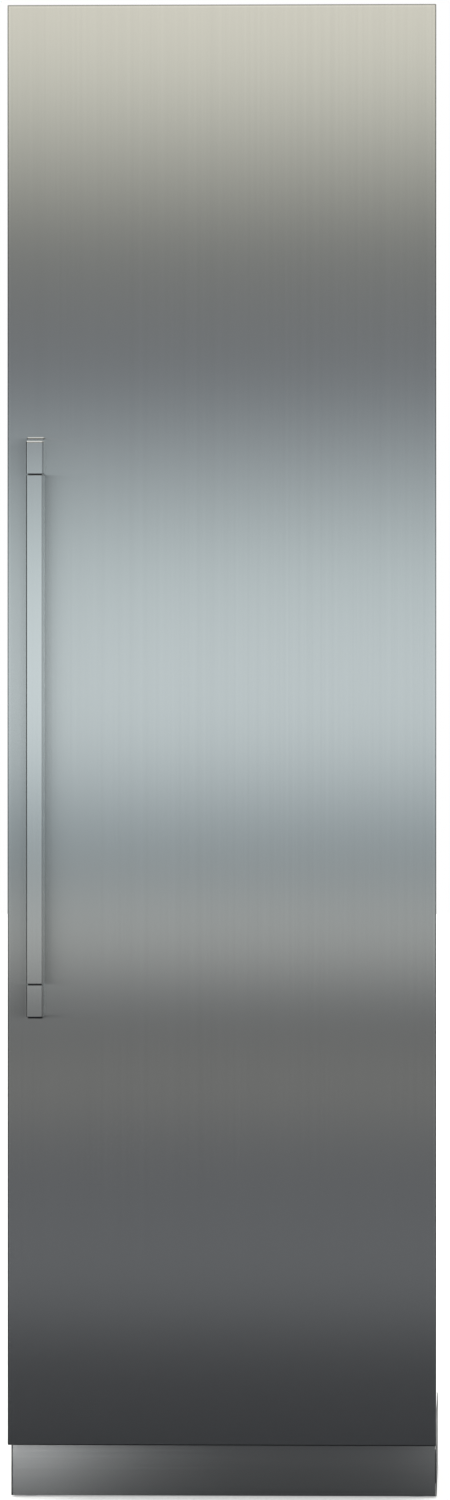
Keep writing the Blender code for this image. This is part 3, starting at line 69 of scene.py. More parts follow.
def srgb(code):
    """Linear colour, with full alpha, of an sRGB hex colour."""
    parts = [int(code[start:start + 2], 16) / 255 for start in (1, 3, 5)]
    linear = [part / 12.92 if part <= 0.04045 else ((part + 0.055) / 1.055) ** 2.4 for part in parts]
    return (*linear, 1.0)


def add(tree, kind, inputs=None, **settings):
    """Add a node with its settings, and fill its inputs with values or with other nodes' outputs."""
    node = tree.nodes.new(kind)
    for name, value in settings.items():
        setattr(node, name, value)
    for socket, value in (inputs or {}).items():
        if isinstance(value, bpy.types.NodeSocket):
            tree.links.new(value, node.inputs[socket])
        else:
            node.inputs[socket].default_value = value
    return node


def maths(tree, operation, *values):
    """Result of one sum on values or other nodes' outputs."""
    return add(tree, 'ShaderNodeMath', dict(enumerate(values)), operation=operation).outputs[0]


def rescale(tree, value, low, high, at_low=0.0, at_high=1.0):
    """A value that runs from low to high, spread between two ends."""
    return add(tree, 'ShaderNodeMapRange', {'Value': value, 'From Min': low, 'From Max': high,
                                            'To Min': at_low, 'To Max': at_high}).outputs['Result']


def tones(tree, value, stops, interpolation='LINEAR'):
    """Colour for a value, from positions, each with an sRGB hex colour or a linear level of grey."""
    ramp = add(tree, 'ShaderNodeValToRGB', {'Fac': value})
    ramp.color_ramp.interpolation = interpolation
    elements = ramp.color_ramp.elements
    while len(elements) < len(stops):
        elements.new(1.0)
    for element, (position, tone) in zip(elements, stops):
        element.position = position
        element.color = srgb(tone) if isinstance(tone, str) else (tone, tone, tone, 1.0)
    return ramp.outputs['Color']


# Finishes
def start_finish(name, base, roughness, more=()):
    """A new material: its node tree, its shader and the piece's own coordinates."""
    material = bpy.data.materials.new(name)
    material.use_nodes = True
    tree = material.node_tree
    shader = tree.nodes['Principled BSDF']
    for socket, value in {'Base Color': srgb(base), 'Roughness': roughness, **dict(more)}.items():
        shader.inputs[socket].default_value = value
    place = add(tree, 'ShaderNodeTexCoord').outputs['Object']
    return material, tree, shader, place


def vary_roughness(tree, shader, value, at_low, at_high, low=0.0, high=1.0):
    """Let a value that runs from low to high set the roughness between two ends."""
    tree.links.new(rescale(tree, value, low, high, at_low, at_high), shader.inputs['Roughness'])


def raise_relief(tree, shader, height, strength, depth):
    """Let a value stand out from the surface as fine relief."""
    bump = add(tree, 'ShaderNodeBump', {'Height': height, 'Strength': strength, 'Distance': depth})
    tree.links.new(bump.outputs['Normal'], shader.inputs['Normal'])


def streaks(tree, place, size, detail=3.0):
    """Noise drawn out into grain: size is one streak's extent along X, Y and Z."""
    stretched = add(tree, 'ShaderNodeMapping', {'Vector': place, 'Scale': [1 / length for length in size]})
    return add(tree, 'ShaderNodeTexNoise', {'Vector': stretched.outputs['Vector'], 'Scale': 1.0,
                                            'Detail': detail, 'Roughness': 0.6}).outputs['Fac']


def edge_distance(tree, place, node, axes):
    """Distance over the surface from the nearest edge of a node's front, measured in or back from it."""
    low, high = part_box(node)
    parts = add(tree, 'ShaderNodeSeparateXYZ', {'Vector': place})
    nearest = None
    for axis in axes:
        index = 'XYZ'.index(axis)
        middle, half = (low[index] + high[index]) / 2, (high[index] - low[index]) / 2
        off = maths(tree, 'ABSOLUTE', maths(tree, 'SUBTRACT', parts.outputs[axis], middle))
        gap = maths(tree, 'SUBTRACT', half, off)
        nearest = maths(tree, 'MINIMUM', nearest, gap) if nearest else gap
    return maths(tree, 'MAXIMUM', nearest, maths(tree, 'SUBTRACT', parts.outputs['Y'], low.y))


def multiply(tree, colour, value, stops):
    """Multiply a colour by the grey tints that stops give for a value."""
    return add(tree, 'ShaderNodeVectorMath', {0: colour, 1: tones(tree, value, stops)},
               operation='MULTIPLY').outputs[0]


def paint_light_and_shade_by_facing(tree, colour, axis, stops):
    """Multiply a colour by painted light and shade, from how far the surface faces down an axis (0) or up it
    (1).
    """
    facing = add(tree, 'ShaderNodeTexCoord').outputs['Normal']
    turned = add(tree, 'ShaderNodeSeparateXYZ', {'Vector': facing}).outputs[axis]
    return multiply(tree, colour, rescale(tree, turned, -1.0, 1.0), stops)


# Width from an edge over which painted shade and highlight run
EDGE_PAINTED_LIGHT_REACH = 10 * MM
GRAIN_GLOSS = 0.003
GRAIN_STRENGTH = 0.002
GRAIN_DEPTH = 0.01 * MM


def brushed_stainless(name, light, dark, roughness, grain, turn=0.0, anisotropy=0.97, edges=None,
                      tints=(), sides=(), ends=()):
    """Stainless sheet, belt-brushed in one direction.

    Its fine parallel grain draws reflections out across itself, and long faint streaks run along it. The
    real grain is about 0.1 mm wide, so it is drawn 1.6 and 6.4 mm wide here to show in the picture. Along
    the edges given, a node and its axes, the steel gets a painted shade on the fold and a painted highlight
    just inside it. The tints in sides and ends are painted light and shade by how far the surface turns
    from left to right and from below to above: painted shade on round edges, painted highlights on side
    faces.
    """
    more = {'Metallic': 1.0, 'Anisotropic': anisotropy, 'Anisotropic Rotation': turn}
    material, tree, shader, place = start_finish(name, light, roughness, more)
    fine = streaks(tree, place, grain)
    broad = streaks(tree, place, [4 * length for length in grain], 1.0)
    share = rescale(tree, maths(tree, 'ADD', fine, broad), 0.7, 1.3)
    colour = tones(tree, share, ((0.0, dark), (1.0, light)))
    if edges:
        inset = rescale(tree, edge_distance(tree, place, *edges), 0.0, EDGE_PAINTED_LIGHT_REACH)
        colour = multiply(tree, colour, inset, tints)
    for axis, stops in (('X', sides), ('Z', ends)):
        if stops:
            colour = paint_light_and_shade_by_facing(tree, colour, axis, stops)
    tree.links.new(colour, shader.inputs['Base Color'])
    vary_roughness(tree, shader, fine, roughness + GRAIN_GLOSS, roughness - GRAIN_GLOSS, 0.3, 0.7)
    raise_relief(tree, shader, fine, GRAIN_STRENGTH, GRAIN_DEPTH)
    return material


def painted_steel(name, base, roughness, grit):
    """Powder-coated sheet: an even colour with a fine orange-peel surface."""
    material, tree, shader, place = start_finish(name, base, roughness)
    peel = add(tree, 'ShaderNodeTexNoise', {'Vector': place, 'Scale': 1 / grit, 'Detail': 2.0}).outputs['Fac']
    raise_relief(tree, shader, peel, 0.25, 0.08 * MM)
    vary_roughness(tree, shader, peel, roughness - 0.06, roughness + 0.06)
    return material


METAL_PATCH = 9 * MM
METAL_ROUGHNESS = (0.42, 0.5)


def patched_metal(name, dark, light, tints=()):
    """Dull bare metal in patches a few millimetres wide, each at its own tone and gloss.

    On hot-dip galvanised steel they are zinc crystals, and on rolled aluminium they are oxide. The tints
    paint shade on pressed slopes that face down or left and paint highlights on those that face up or right.
    """
    material, tree, shader, place = start_finish(name, light, METAL_ROUGHNESS[0], {'Metallic': 1.0})
    patches = add(tree, 'ShaderNodeTexVoronoi', {'Vector': place, 'Scale': 1 / METAL_PATCH})
    tone = add(tree, 'ShaderNodeSeparateColor', {'Color': patches.outputs['Color']}).outputs[0]
    colour = tones(tree, tone, ((0.0, dark), (1.0, light)))
    if tints:
        colour = paint_light_and_shade_by_facing(tree, paint_light_and_shade_by_facing(tree, colour, 'X', tints), 'Z', tints)
    tree.links.new(colour, shader.inputs['Base Color'])
    vary_roughness(tree, shader, tone, *METAL_ROUGHNESS)
    return material


def moulded_plastic(name, base, roughness, grit, depth):
    """Injection-moulded or thermoformed plastic with the tool's faint grain."""
    material, tree, shader, place = start_finish(name, base, roughness, {'IOR': 1.53})
    grain = add(tree, 'ShaderNodeTexNoise', {'Vector': place, 'Scale': 1 / grit, 'Detail': 3.0})
    raise_relief(tree, shader, grain.outputs['Fac'], 0.2, depth)
    vary_roughness(tree, shader, grain.outputs['Fac'], roughness - 0.05, roughness + 0.05)
    return material


CLEAR_WAVE = 60 * MM


def clear_material(name, tint, ior, roughness):
    """Clear glass or plastic that lets light through, with a slow wave in its gloss."""
    more = {'Transmission Weight': 1.0, 'IOR': ior}
    material, tree, shader, place = start_finish(name, tint, roughness, more)
    wave = add(tree, 'ShaderNodeTexNoise', {'Vector': place, 'Scale': 1 / CLEAR_WAVE, 'Detail': 1.0})
    vary_roughness(tree, shader, wave.outputs['Fac'], roughness, roughness * 1.6)
    return material


LAMP_SPACING = 12 * MM
LAMP_GLOW = (2.4, 3.2)


def led_diffuser(name):
    """Opal cover over a row of small lamps, each a brighter spot."""
    lit = {'Emission Color': srgb('#FFFBF2')}
    material, tree, shader, place = start_finish(name, '#F4F4EE', 0.35, lit)
    height = add(tree, 'ShaderNodeSeparateXYZ', {'Vector': place}).outputs['Z']
    spot = maths(tree, 'SINE', maths(tree, 'MULTIPLY', height, 2 * math.pi / LAMP_SPACING))
    tree.links.new(rescale(tree, spot, -1.0, 1.0, *LAMP_GLOW), shader.inputs['Emission Strength'])
    return material


FOAM_CELL = 1.5 * MM


def foam_finish(name):
    """Rigid polyurethane foam: pale yellow, dull, with small cells."""
    material, tree, shader, place = start_finish(name, '#D9C48C', 0.9)
    cells = add(tree, 'ShaderNodeTexVoronoi', {'Vector': place, 'Scale': 1 / FOAM_CELL}).outputs['Distance']
    raise_relief(tree, shader, cells, 0.5, 0.4 * MM)
    return material


UPRIGHT_GRAIN = (1.6 * MM, 1.6 * MM, 700 * MM)
LEVEL_GRAIN = (400 * MM, 1.6 * MM, 1.6 * MM)
ACROSS = 0.25
# Painted shade on the fold of the door's steel and a painted highlight just inside it, over the first 10 mm
# from an edge
DOOR_EDGE_PAINTED_SHADE_AND_HIGHLIGHT = ((0.0, 0.5), (0.12, 0.5), (0.2, 0.95), (0.3, 1.0), (0.5, 0.93), (1.0, 0.93))
# Painted light and shade by the way a surface faces: from left through the front to right, or from below to
# above
BAR_SIDE_PAINTED_SHADE_AND_HIGHLIGHT = ((0.0, 0.2), (0.2, 0.14), (0.3, 1.2), (0.46, 1.2), (0.49, 1.0), (0.51, 1.0), (0.55, 0.62),
                  (0.72, 0.64), (0.8, 1.35), (1.0, 1.5))
BAR_END_PAINTED_SHADE_AND_HIGHLIGHT = ((0.0, 0.5), (0.3, 0.42), (0.46, 0.8), (0.495, 1.0), (0.505, 1.0), (0.53, 0.5), (0.65, 0.5),
                 (0.75, 1.2), (1.0, 1.25))
# Painted shade on pressed slopes that face down or left, painted highlight on those that face up or right
SLOPE_PAINTED_SHADE_AND_HIGHLIGHT = ((0.0, 0.9), (0.3, 0.62), (0.46, 0.7), (0.49, 1.0), (0.51, 1.0), (0.54, 1.2), (0.7, 1.2),
               (1.0, 1.0))

GLASSES = ('shelf_glass_1', 'shelf_glass_2', 'shelf_glass_4', 'split_shelf_rear', 'split_shelf_front',
           'drawer_cover')
TRIMS = tuple('shelf_trim_%d' % index for index in (1, 2, 4))
RACKS = tuple('door_rack_%d' % index for index in range(1, 5))
RAILS = tuple('drawer_rail_' + place for place in ('lower_left', 'lower_right', 'upper_left', 'upper_right'))
FEET = tuple('foot_' + place for place in ('front_left', 'front_right', 'rear_left', 'rear_right'))
FINISHES = {}
SLOT_OF = {}


def give(slot, material, *nodes):
    """Keep a slot's finish, and put it on the nodes that are made of it."""
    FINISHES[slot] = material
    for node in nodes:
        SLOT_OF[node] = slot
        NODES[node].data.materials.clear()
        NODES[node].data.materials.append(material)


# The door's steel has a painted shade on its edge fold and a painted highlight just inside it
give('door_steel', brushed_stainless('brushed_stainless_door_painted_edge_light', '#CED0D0', '#CBCDCD', 0.27, UPRIGHT_GRAIN,
                                     edges=('door_skin', 'XZ'), tints=DOOR_EDGE_PAINTED_SHADE_AND_HIGHLIGHT), 'door_skin')
# The handle's steel has painted shade on its round edges, left side and underside, and painted highlights on
# its right side and top
give('handle_steel', brushed_stainless('brushed_stainless_handle_painted_light', '#CFD1D1', '#CCCECE', 0.2, UPRIGHT_GRAIN,
                                       anisotropy=0.6, sides=BAR_SIDE_PAINTED_SHADE_AND_HIGHLIGHT, ends=BAR_END_PAINTED_SHADE_AND_HIGHLIGHT),
     'handle_bar', 'handle_post_top', 'handle_post_bottom')
give('kick_steel', brushed_stainless('brushed_stainless_kick', '#C2C4C4', '#BABCBC', 0.25, LEVEL_GRAIN,
                                     ACROSS, anisotropy=0.6), 'toe_kick')
give('grey_paint', painted_steel('powder_coated_grey_steel', '#9A9C9D', 0.5, 1.4 * MM),
     'side_panel_left', 'side_panel_right', 'top_panel')
give('black_paint', painted_steel('black_enamelled_steel', '#191A1C', 0.4, 1.2 * MM),
     'base_rail_left', 'base_rail_right', 'compressor', 'condenser', 'condenser_fan_rotor')
give('zinc_steel', patched_metal('galvanised_steel_painted_slope_light', '#A3A7AB', '#B2B6B9', SLOPE_PAINTED_SHADE_AND_HIGHLIGHT),
     'back_panel', 'machine_cover', 'base_pan', 'hinge_plate_top', 'hinge_plate_bottom', 'hinge_pin_top',
     'hinge_pin_bottom', *FEET)
give('foam', foam_finish('polyurethane_foam'), 'insulation')
give('door_body', moulded_plastic('door_body_grey_abs', '#77797B', 0.5, 0.9 * MM, 0.05 * MM), 'door_core')
give('liner_white', moulded_plastic('thermoformed_white_polystyrene', '#CBCECE', 0.35, 2.5 * MM, 0.03 * MM),
     'inner_liner', 'door_liner')
give('gasket', moulded_plastic('extruded_grey_pvc', '#8B8D8F', 0.6, 1.0 * MM, 0.04 * MM), 'door_gasket')
give('grey_plastic', moulded_plastic('moulded_dark_grey_abs', '#45474A', 0.5, 0.8 * MM, 0.05 * MM),
     'condenser_fan_shroud', 'control_box', 'control_panel')
give('white_plastic', moulded_plastic('moulded_white_abs', '#D0D3D3', 0.42, 0.9 * MM, 0.04 * MM),
     'air_duct', 'evaporator_fan_rotor', 'hinge_bush_top', 'hinge_bush_bottom', *RAILS)
give('clear_plastic', clear_material('clear_styrene_acrylonitrile', '#EFF7FA', 1.57, 0.03),
     'drawer_bin_lower', 'drawer_bin_upper', 'drawer_front_lower', 'drawer_front_upper', *RACKS)
give('glass', clear_material('tempered_float_glass', '#DDF1EA', 1.52, 0.01), *GLASSES)
give('trim', brushed_stainless('satin_anodised_aluminium', '#CDCFD1', '#C8CACC', 0.32, LEVEL_GRAIN, ACROSS,
                               anisotropy=0.4), *TRIMS)
give('aluminium', patched_metal('rolled_aluminium_fins', '#A3A7AB', '#B2B6B9'), 'evaporator')
give('diffuser', led_diffuser('opal_led_cover'), 'light_strip_left', 'light_strip_right')


# Fine pieces
BODY_OF = {node: body for body, names in frame['record']['behaviour']['bodies'].items() for node in names}
MERGE_DISTANCE = 0.01 * MM


def evaluated_mesh(holder):
    """Plain mesh of an object with its modifiers applied; the object goes."""
    graph = bpy.context.evaluated_depsgraph_get()
    data = bpy.data.meshes.new_from_object(holder.evaluated_get(graph))
    bpy.data.objects.remove(holder)
    return data


def linked(name, data):
    """Object in the scene, from its data."""
    thing = bpy.data.objects.new(name, data)
    bpy.context.scene.collection.objects.link(thing)
    return thing


def finish_data(name, data, node, slot=None, smooth_degrees=40):
    """Turn a finished mesh into a piece, its flat faces shaded flat between round edges.

    It stands for the node or, with a slot of its own, is one more piece on the node's body.
    """
    mesh = bmesh.new()
    mesh.from_mesh(data)
    for edge in mesh.edges:
        edge.smooth = edge.calc_face_angle(math.pi) < math.radians(smooth_degrees)
    for face in mesh.faces:
        face.smooth = True
    mesh.to_mesh(data)
    mesh.free()
    holder = linked(name + '_unshaded', data)
    holder.modifiers.new('flat_faces', 'WEIGHTED_NORMAL').keep_sharp = True
    shaded = evaluated_mesh(holder)
    shaded.name = name
    piece = linked(name, shaded)
    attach(piece, BODY_OF[node])
    if not slot:
        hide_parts(node)


def finish_piece(name, mesh, node, slot=None, smooth_degrees=40):
    """Turn a bmesh into a piece with its finish."""
    bmesh.ops.recalc_face_normals(mesh, faces=mesh.faces)
    data = bpy.data.meshes.new(name)
    mesh.to_mesh(data)
    mesh.free()
    data.materials.append(FINISHES[slot or SLOT_OF[node]])
    finish_data(name, data, node, slot, smooth_degrees)


def bevel_sharp(mesh, radius, segments, wanted=None):
    """Round the sharp edges of a mesh, or those of them that a test wants."""
    sharp = [edge for edge in mesh.edges if len(edge.link_faces) == 2
             and edge.calc_face_angle() > math.radians(30) and (wanted is None or wanted(edge))]
    bmesh.ops.bevel(mesh, geom=sharp, offset=radius, segments=segments, profile=0.5, affect='EDGES',
                    clamp_overlap=True)


def clean_copy(node):
    """A node's solid with its triangles joined into whole faces."""
    mesh = bmesh.new()
    mesh.from_mesh(NODES[node].data)
    bmesh.ops.remove_doubles(mesh, verts=mesh.verts, dist=MERGE_DISTANCE)
    bmesh.ops.dissolve_limit(mesh, angle_limit=math.radians(1), use_dissolve_boundaries=False,
                             verts=mesh.verts, edges=mesh.edges)
    return mesh


def add_block(mesh, x_span, y_span, z_span):
    """Add one box."""
    for corner in bmesh.ops.create_cube(mesh, size=1.0)['verts']:
        for index, (near, far) in enumerate((x_span, y_span, z_span)):
            corner.co[index] = near if corner.co[index] < 0 else far


def add_blocks(mesh, spans, radius):
    """Add boxes with round edges."""
    blocks = bmesh.new()
    for span in spans:
        add_block(blocks, *span)
    bevel_sharp(blocks, radius, 2)
    spare = bpy.data.meshes.new('blocks')
    blocks.to_mesh(spare)
    blocks.free()
    mesh.from_mesh(spare)
    bpy.data.meshes.remove(spare)


def add_strip(mesh, rings, closed=True):
    """Join rings of corners into a band of faces; a closed band joins its last ring to its first."""
    corners = [[mesh.verts.new(point) for point in ring] for ring in rings]
    pairs = list(zip(corners, corners[1:])) + ([(corners[-1], corners[0])] if closed else [])
    for ring, after in pairs:
        for index in range(len(ring)):
            other = (index + 1) % len(ring)
            mesh.faces.new((ring[index], ring[other], after[other], after[index]))
    return corners


def add_solid(mesh, rings):
    """Add a solid from rings of corners, with a face over its first ring and its last."""
    corners = add_strip(mesh, rings, closed=False)
    mesh.faces.new(corners[0])
    mesh.faces.new(corners[-1])


def middle_of(edge):
    """Middle point of an edge."""
    return (edge.verts[0].co + edge.verts[1].co) / 2


# Real edge radii of the moulded, pressed and folded pieces, in millimetres
ROUNDED = (
    (1.8, ('drawer_front_lower', 'drawer_front_upper')),
    (2.0, ('door_liner',)),
    (4.0, ('control_panel',)),
    (1.6, ('light_strip_left', 'light_strip_right')),
    (2.4, TRIMS),
    (1.0, ('air_duct',)),
    (2.0, ('control_box',)),
    (1.0, ('condenser_fan_shroud',)),
    (0.8, ('hinge_plate_top', 'hinge_plate_bottom')),
    (0.7, ('hinge_pin_top', 'hinge_pin_bottom')),
    (0.9, GLASSES),
    (1.0, RAILS),
)


def rounded_pieces():
    """Pieces with the shape of their solids, and their edges rounded."""
    for radius, nodes in ROUNDED:
        for node in nodes:
            mesh = clean_copy(node)
            bevel_sharp(mesh, radius * MM, 2)
            finish_piece(node + '_rounded', mesh, node)


# Shapes that repeat
def repeat_tree(name, sizes, build):
    """Geometry tree that stands one shape on every point; build makes the shape from its named sizes."""
    tree = bpy.data.node_groups.new(name, 'GeometryNodeTree')
    kinds = {'Points': 'Geometry', 'Finish': 'Material', 'Turn': 'Vector', **dict.fromkeys(sizes, 'Float')}
    for label, kind in kinds.items():
        tree.interface.new_socket(label, in_out='INPUT', socket_type='NodeSocket' + kind)
    tree.interface.new_socket('Geometry', in_out='OUTPUT', socket_type='NodeSocketGeometry')
    given = add(tree, 'NodeGroupInput').outputs
    turn = add(tree, 'FunctionNodeEulerToRotation', {0: given['Turn']}).outputs[0]
    placed = add(tree, 'GeometryNodeInstanceOnPoints',
                 {'Points': given['Points'], 'Instance': build(tree, given), 'Rotation': turn}).outputs[0]
    real = add(tree, 'GeometryNodeRealizeInstances', {'Geometry': placed}).outputs[0]
    painted = add(tree, 'GeometryNodeSetMaterial', {'Geometry': real, 'Material': given['Finish']}).outputs[0]
    add(tree, 'NodeGroupOutput', {0: painted})
    return tree


def standing_disc(tree, vertices, radius, height):
    """Flat-ended disc that stands on the origin."""
    disc = add(tree, 'GeometryNodeMeshCylinder', {'Vertices': vertices, 'Radius': radius, 'Depth': height})
    lift = add(tree, 'ShaderNodeCombineXYZ', {'Z': maths(tree, 'MULTIPLY', height, 0.5)}).outputs[0]
    moved = add(tree, 'GeometryNodeTransform', {'Geometry': disc.outputs['Mesh'], 'Translation': lift})
    return moved.outputs[0]


def screw_shape(tree, given):
    """Hexagon head on a round flange."""
    join = add(tree, 'GeometryNodeJoinGeometry')
    head = standing_disc(tree, 6, given['Head radius'], given['Head height'])
    flange = standing_disc(tree, 20, given['Flange radius'], given['Flange height'])
    tree.links.new(head, join.inputs[0])
    tree.links.new(flange, join.inputs[0])
    return join.outputs[0]


def bar_shape(tree, given):
    """Round bar along X, centred on its point."""
    reach = [maths(tree, 'MULTIPLY', given['Length'], share) for share in (-0.5, 0.5)]
    start, end = [add(tree, 'ShaderNodeCombineXYZ', {'X': x}).outputs[0] for x in reach]
    line = add(tree, 'GeometryNodeCurvePrimitiveLine', {'Start': start, 'End': end}).outputs[0]
    ring = add(tree, 'GeometryNodeCurvePrimitiveCircle', {'Resolution': 12, 'Radius': given['Radius']})
    return add(tree, 'GeometryNodeCurveToMesh', {'Curve': line, 'Profile Curve': ring.outputs[0],
                                                 'Fill Caps': True}).outputs[0]


SCREW_SIZES = ('Head radius', 'Head height', 'Flange radius', 'Flange height')
SCREW = repeat_tree('hexagon_screws', SCREW_SIZES, screw_shape)
ROUND_BAR = repeat_tree('round_bars', ('Length', 'Radius'), bar_shape)
FRONT_TO_BACK = (0, 0, math.pi / 2)


def grow(name, tree, points, node, slot, turn=(0, 0, 0), **sizes):
    """Piece on a node's body, one shape to each point, its sizes set on the modifier's named inputs."""
    data = bpy.data.meshes.new(name + '_points')
    data.from_pydata(points, [], [])
    holder = linked(name + '_points', data)
    modifier = holder.modifiers.new('repeat', 'NODES')
    modifier.node_group = tree
    values = {'Finish': FINISHES[slot], 'Turn': turn, **sizes}
    for item in tree.interface.items_tree:
        if item.in_out == 'INPUT' and item.name in values:
            modifier[item.identifier] = values[item.name]
    finish_data(name, evaluated_mesh(holder), node, slot)


# Handle
HANDLE_EDGE = 3.2 * MM
LEG_EDGE = 1.8 * MM
SEAM_EDGE = 0.3 * MM
SEAM_GROWTH = 0.5 * MM
GROOVE_HEIGHT = 2.6 * MM
GROOVE_DEPTH = 9.0 * MM
FOOT_RISE = 0.9 * MM
LEG_STEP = 3.5 * MM
TENON_LENGTH = 9 * MM
SPACER_HALF = 9.5 * MM
SPACER_GRIP = 1 * MM


def handle():
    """Square bar with polished round edges between two end posts, each past a thin black spacer, painted seam
    shade.
    """
    bar_low, bar_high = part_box('handle_bar')
    bar_ends = (bar_low.z + TENON_LENGTH + SEAM_GROWTH, bar_high.z - TENON_LENGTH - SEAM_GROWTH)
    middle = sum(bar_ends) / 2
    bar = bmesh.new()
    add_block(bar, (bar_low.x, bar_high.x), (bar_low.y, bar_high.y), bar_ends)
    bevel_sharp(bar, HANDLE_EDGE, 4, lambda edge: abs(middle_of(edge).z - middle) < MM)
    bevel_sharp(bar, SEAM_EDGE, 2)
    finish_piece('handle_bar_rounded', bar, 'handle_bar')
    # The black pieces in the seams are painted shade for the seams' shadow gap
    seam_shade_spacers = bmesh.new()
    for word, outward, bar_end in (('top', 1, bar_ends[1]), ('bottom', -1, bar_ends[0])):
        low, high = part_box('handle_post_' + word)
        inner = low.z + SEAM_GROWTH if outward > 0 else high.z - SEAM_GROWTH
        handle_post(word, outward, low, high, inner, bar_high.y)
        centre_x, centre_y = (low.x + high.x) / 2, (bar_low.y + bar_high.y) / 2
        add_block(seam_shade_spacers, (centre_x - SPACER_HALF, centre_x + SPACER_HALF),
                  (centre_y - SPACER_HALF, centre_y + SPACER_HALF),
                  sorted((bar_end - outward * SPACER_GRIP, inner + outward * SPACER_GRIP)))
    finish_piece('handle_seam_shade_spacers', seam_shade_spacers, 'handle_bar', 'black_paint')


def handle_post(word, outward, low, high, inner, leg):
    """End post from its seam outwards: the upper one has a leg behind the bar, with a step and a groove."""
    front, back = low.y, high.y
    if outward > 0:
        end = high.z
        shoulder = end - LEG_STEP
        outline = [(front, inner), (back, inner), (back, end), (leg, end), (leg, shoulder),
                   (leg + GROOVE_DEPTH, shoulder), (leg + GROOVE_DEPTH, shoulder - GROOVE_HEIGHT),
                   (front, shoulder - GROOVE_HEIGHT)]
    else:
        end = low.z + FOOT_RISE
        outline = [(front, inner), (back, inner), (back, end), (front, end)]
    post = bmesh.new()
    add_solid(post, [[(x, y, z) for y, z in outline] for x in (low.x, high.x)])
    bmesh.ops.recalc_face_normals(post, faces=post.faces)
    round_to = leg if outward > 0 else back

    def bar_edge(edge):
        return middle_of(edge).y < round_to - NEAR and abs(middle_of(edge).z - inner) > NEAR

    def leg_edge(edge):
        return leg - NEAR < middle_of(edge).y < back - NEAR and middle_of(edge).z > shoulder + NEAR

    bevel_sharp(post, HANDLE_EDGE, 4, bar_edge)
    if outward > 0:
        bevel_sharp(post, LEG_EDGE, 3, leg_edge)
    bevel_sharp(post, SEAM_EDGE, 2, lambda edge: abs(middle_of(edge).z - inner) < NEAR)
    finish_piece('handle_post_%s_rounded' % word, post, 'handle_post_' + word)


# Door seal: depth of the profile in from its outer edge, and out from the door
SEAL_PROFILE = ((3, 0), (17, 0), (18, 1.2), (16.6, 2.4), (18.6, 3.6), (16.8, 4.8), (20, 5.6), (20, 8.6),
                (19, 9.4), (1, 9.4), (0, 8.6), (0, 5.6), (3.2, 4.8), (1.4, 3.6), (3.4, 2.4), (2, 1.2))


def door_seal():
    """Extruded seal with bellows and a magnet strip, mitred at its corners."""
    low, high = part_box('door_gasket')
    rings = []
    for side, end in ((-1, -1), (1, -1), (1, 1), (-1, 1)):
        ring = []
        for inset, out in SEAL_PROFILE:
            x = high.x - inset * MM if side > 0 else low.x + inset * MM
            z = high.z - inset * MM if end > 0 else low.z + inset * MM
            ring.append((x, low.y + out * MM, z))
        rings.append(ring)
    mesh = bmesh.new()
    add_strip(mesh, rings)
    finish_piece('door_seal_profile', mesh, 'door_gasket')


# Trays
CORNER_STEPS = 5
LEAST_RADIUS = 0.6 * MM


def arc(x, y, radius, start, turn, steps):
    """Points along an arc round a centre, its ends among them, by its first angle and its turn in degrees."""
    angles = [math.radians(start + turn * step / steps) for step in range(steps + 1)]
    return [(x + radius * math.cos(angle), y + radius * math.sin(angle)) for angle in angles]


def corner_ring(x_span, y_span, radii, inset, z):
    """Level outline with rounded corners; radii are those of the front pair and of the back pair."""
    points = []
    low_x, high_x = x_span[0] + inset, x_span[1] - inset
    low_y, high_y = y_span[0] + inset, y_span[1] - inset
    corners = ((low_x, low_y, 1, 1, radii[0], 180), (high_x, low_y, -1, 1, radii[0], 270),
               (high_x, high_y, -1, -1, radii[1], 0), (low_x, high_y, 1, -1, radii[1], 90))
    for x, y, inward_x, inward_y, radius, start in corners:
        small = max(radius - inset, LEAST_RADIUS)
        points += arc(x + inward_x * small, y + inward_y * small, small, start, 90, CORNER_STEPS)
    return [(*point, z) for point in points]


DRAFT = 1.2 * MM


def tray_profile(low, high, wall, lip, lip_height):
    """Outside and inside of a moulded tray, as (inset, height): round foot, slight draft, rolled lip."""
    return [(DRAFT + 3.4 * MM, low), (DRAFT + 1.2 * MM, low + 0.8 * MM), (DRAFT + 0.4 * MM, low + 2.6 * MM),
            (DRAFT, low + 5 * MM), (lip, high - lip_height), (0, high - lip_height + lip),
            (0, high - 1.2 * MM), (0.5 * MM, high - 0.3 * MM), (1.2 * MM, high),
            (wall + lip - 1.2 * MM, high), (wall + lip - 0.4 * MM, high - 0.4 * MM),
            (wall + lip, high - 1.4 * MM),
            (wall + DRAFT, low + wall + 3 * MM), (wall + DRAFT + 0.8 * MM, low + wall + 1 * MM),
            (wall + DRAFT + 3 * MM, low + wall)]


def moulded_tray(node, sizes, top, y_span, z_span):
    """Clear tray in a node's place, up to a height, with a block on each side; its X span."""
    low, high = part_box(node)
    x_span = (low.x + sizes['reach'], high.x - sizes['reach'])
    profile = tray_profile(low.z, top, sizes['wall'], sizes['lip'], sizes['lip_height'])
    mesh = bmesh.new()
    add_solid(mesh, [corner_ring(x_span, (low.y, high.y), sizes['radii'], inset, z) for inset, z in profile])
    blocks = [(sorted((edge - side * sizes['root'], edge + side * sizes['reach'])), y_span, z_span)
              for side, edge in zip((-1, 1), x_span)]
    add_blocks(mesh, blocks, sizes['block_edge'])
    finish_piece(node + '_moulded', mesh, node)
    return x_span


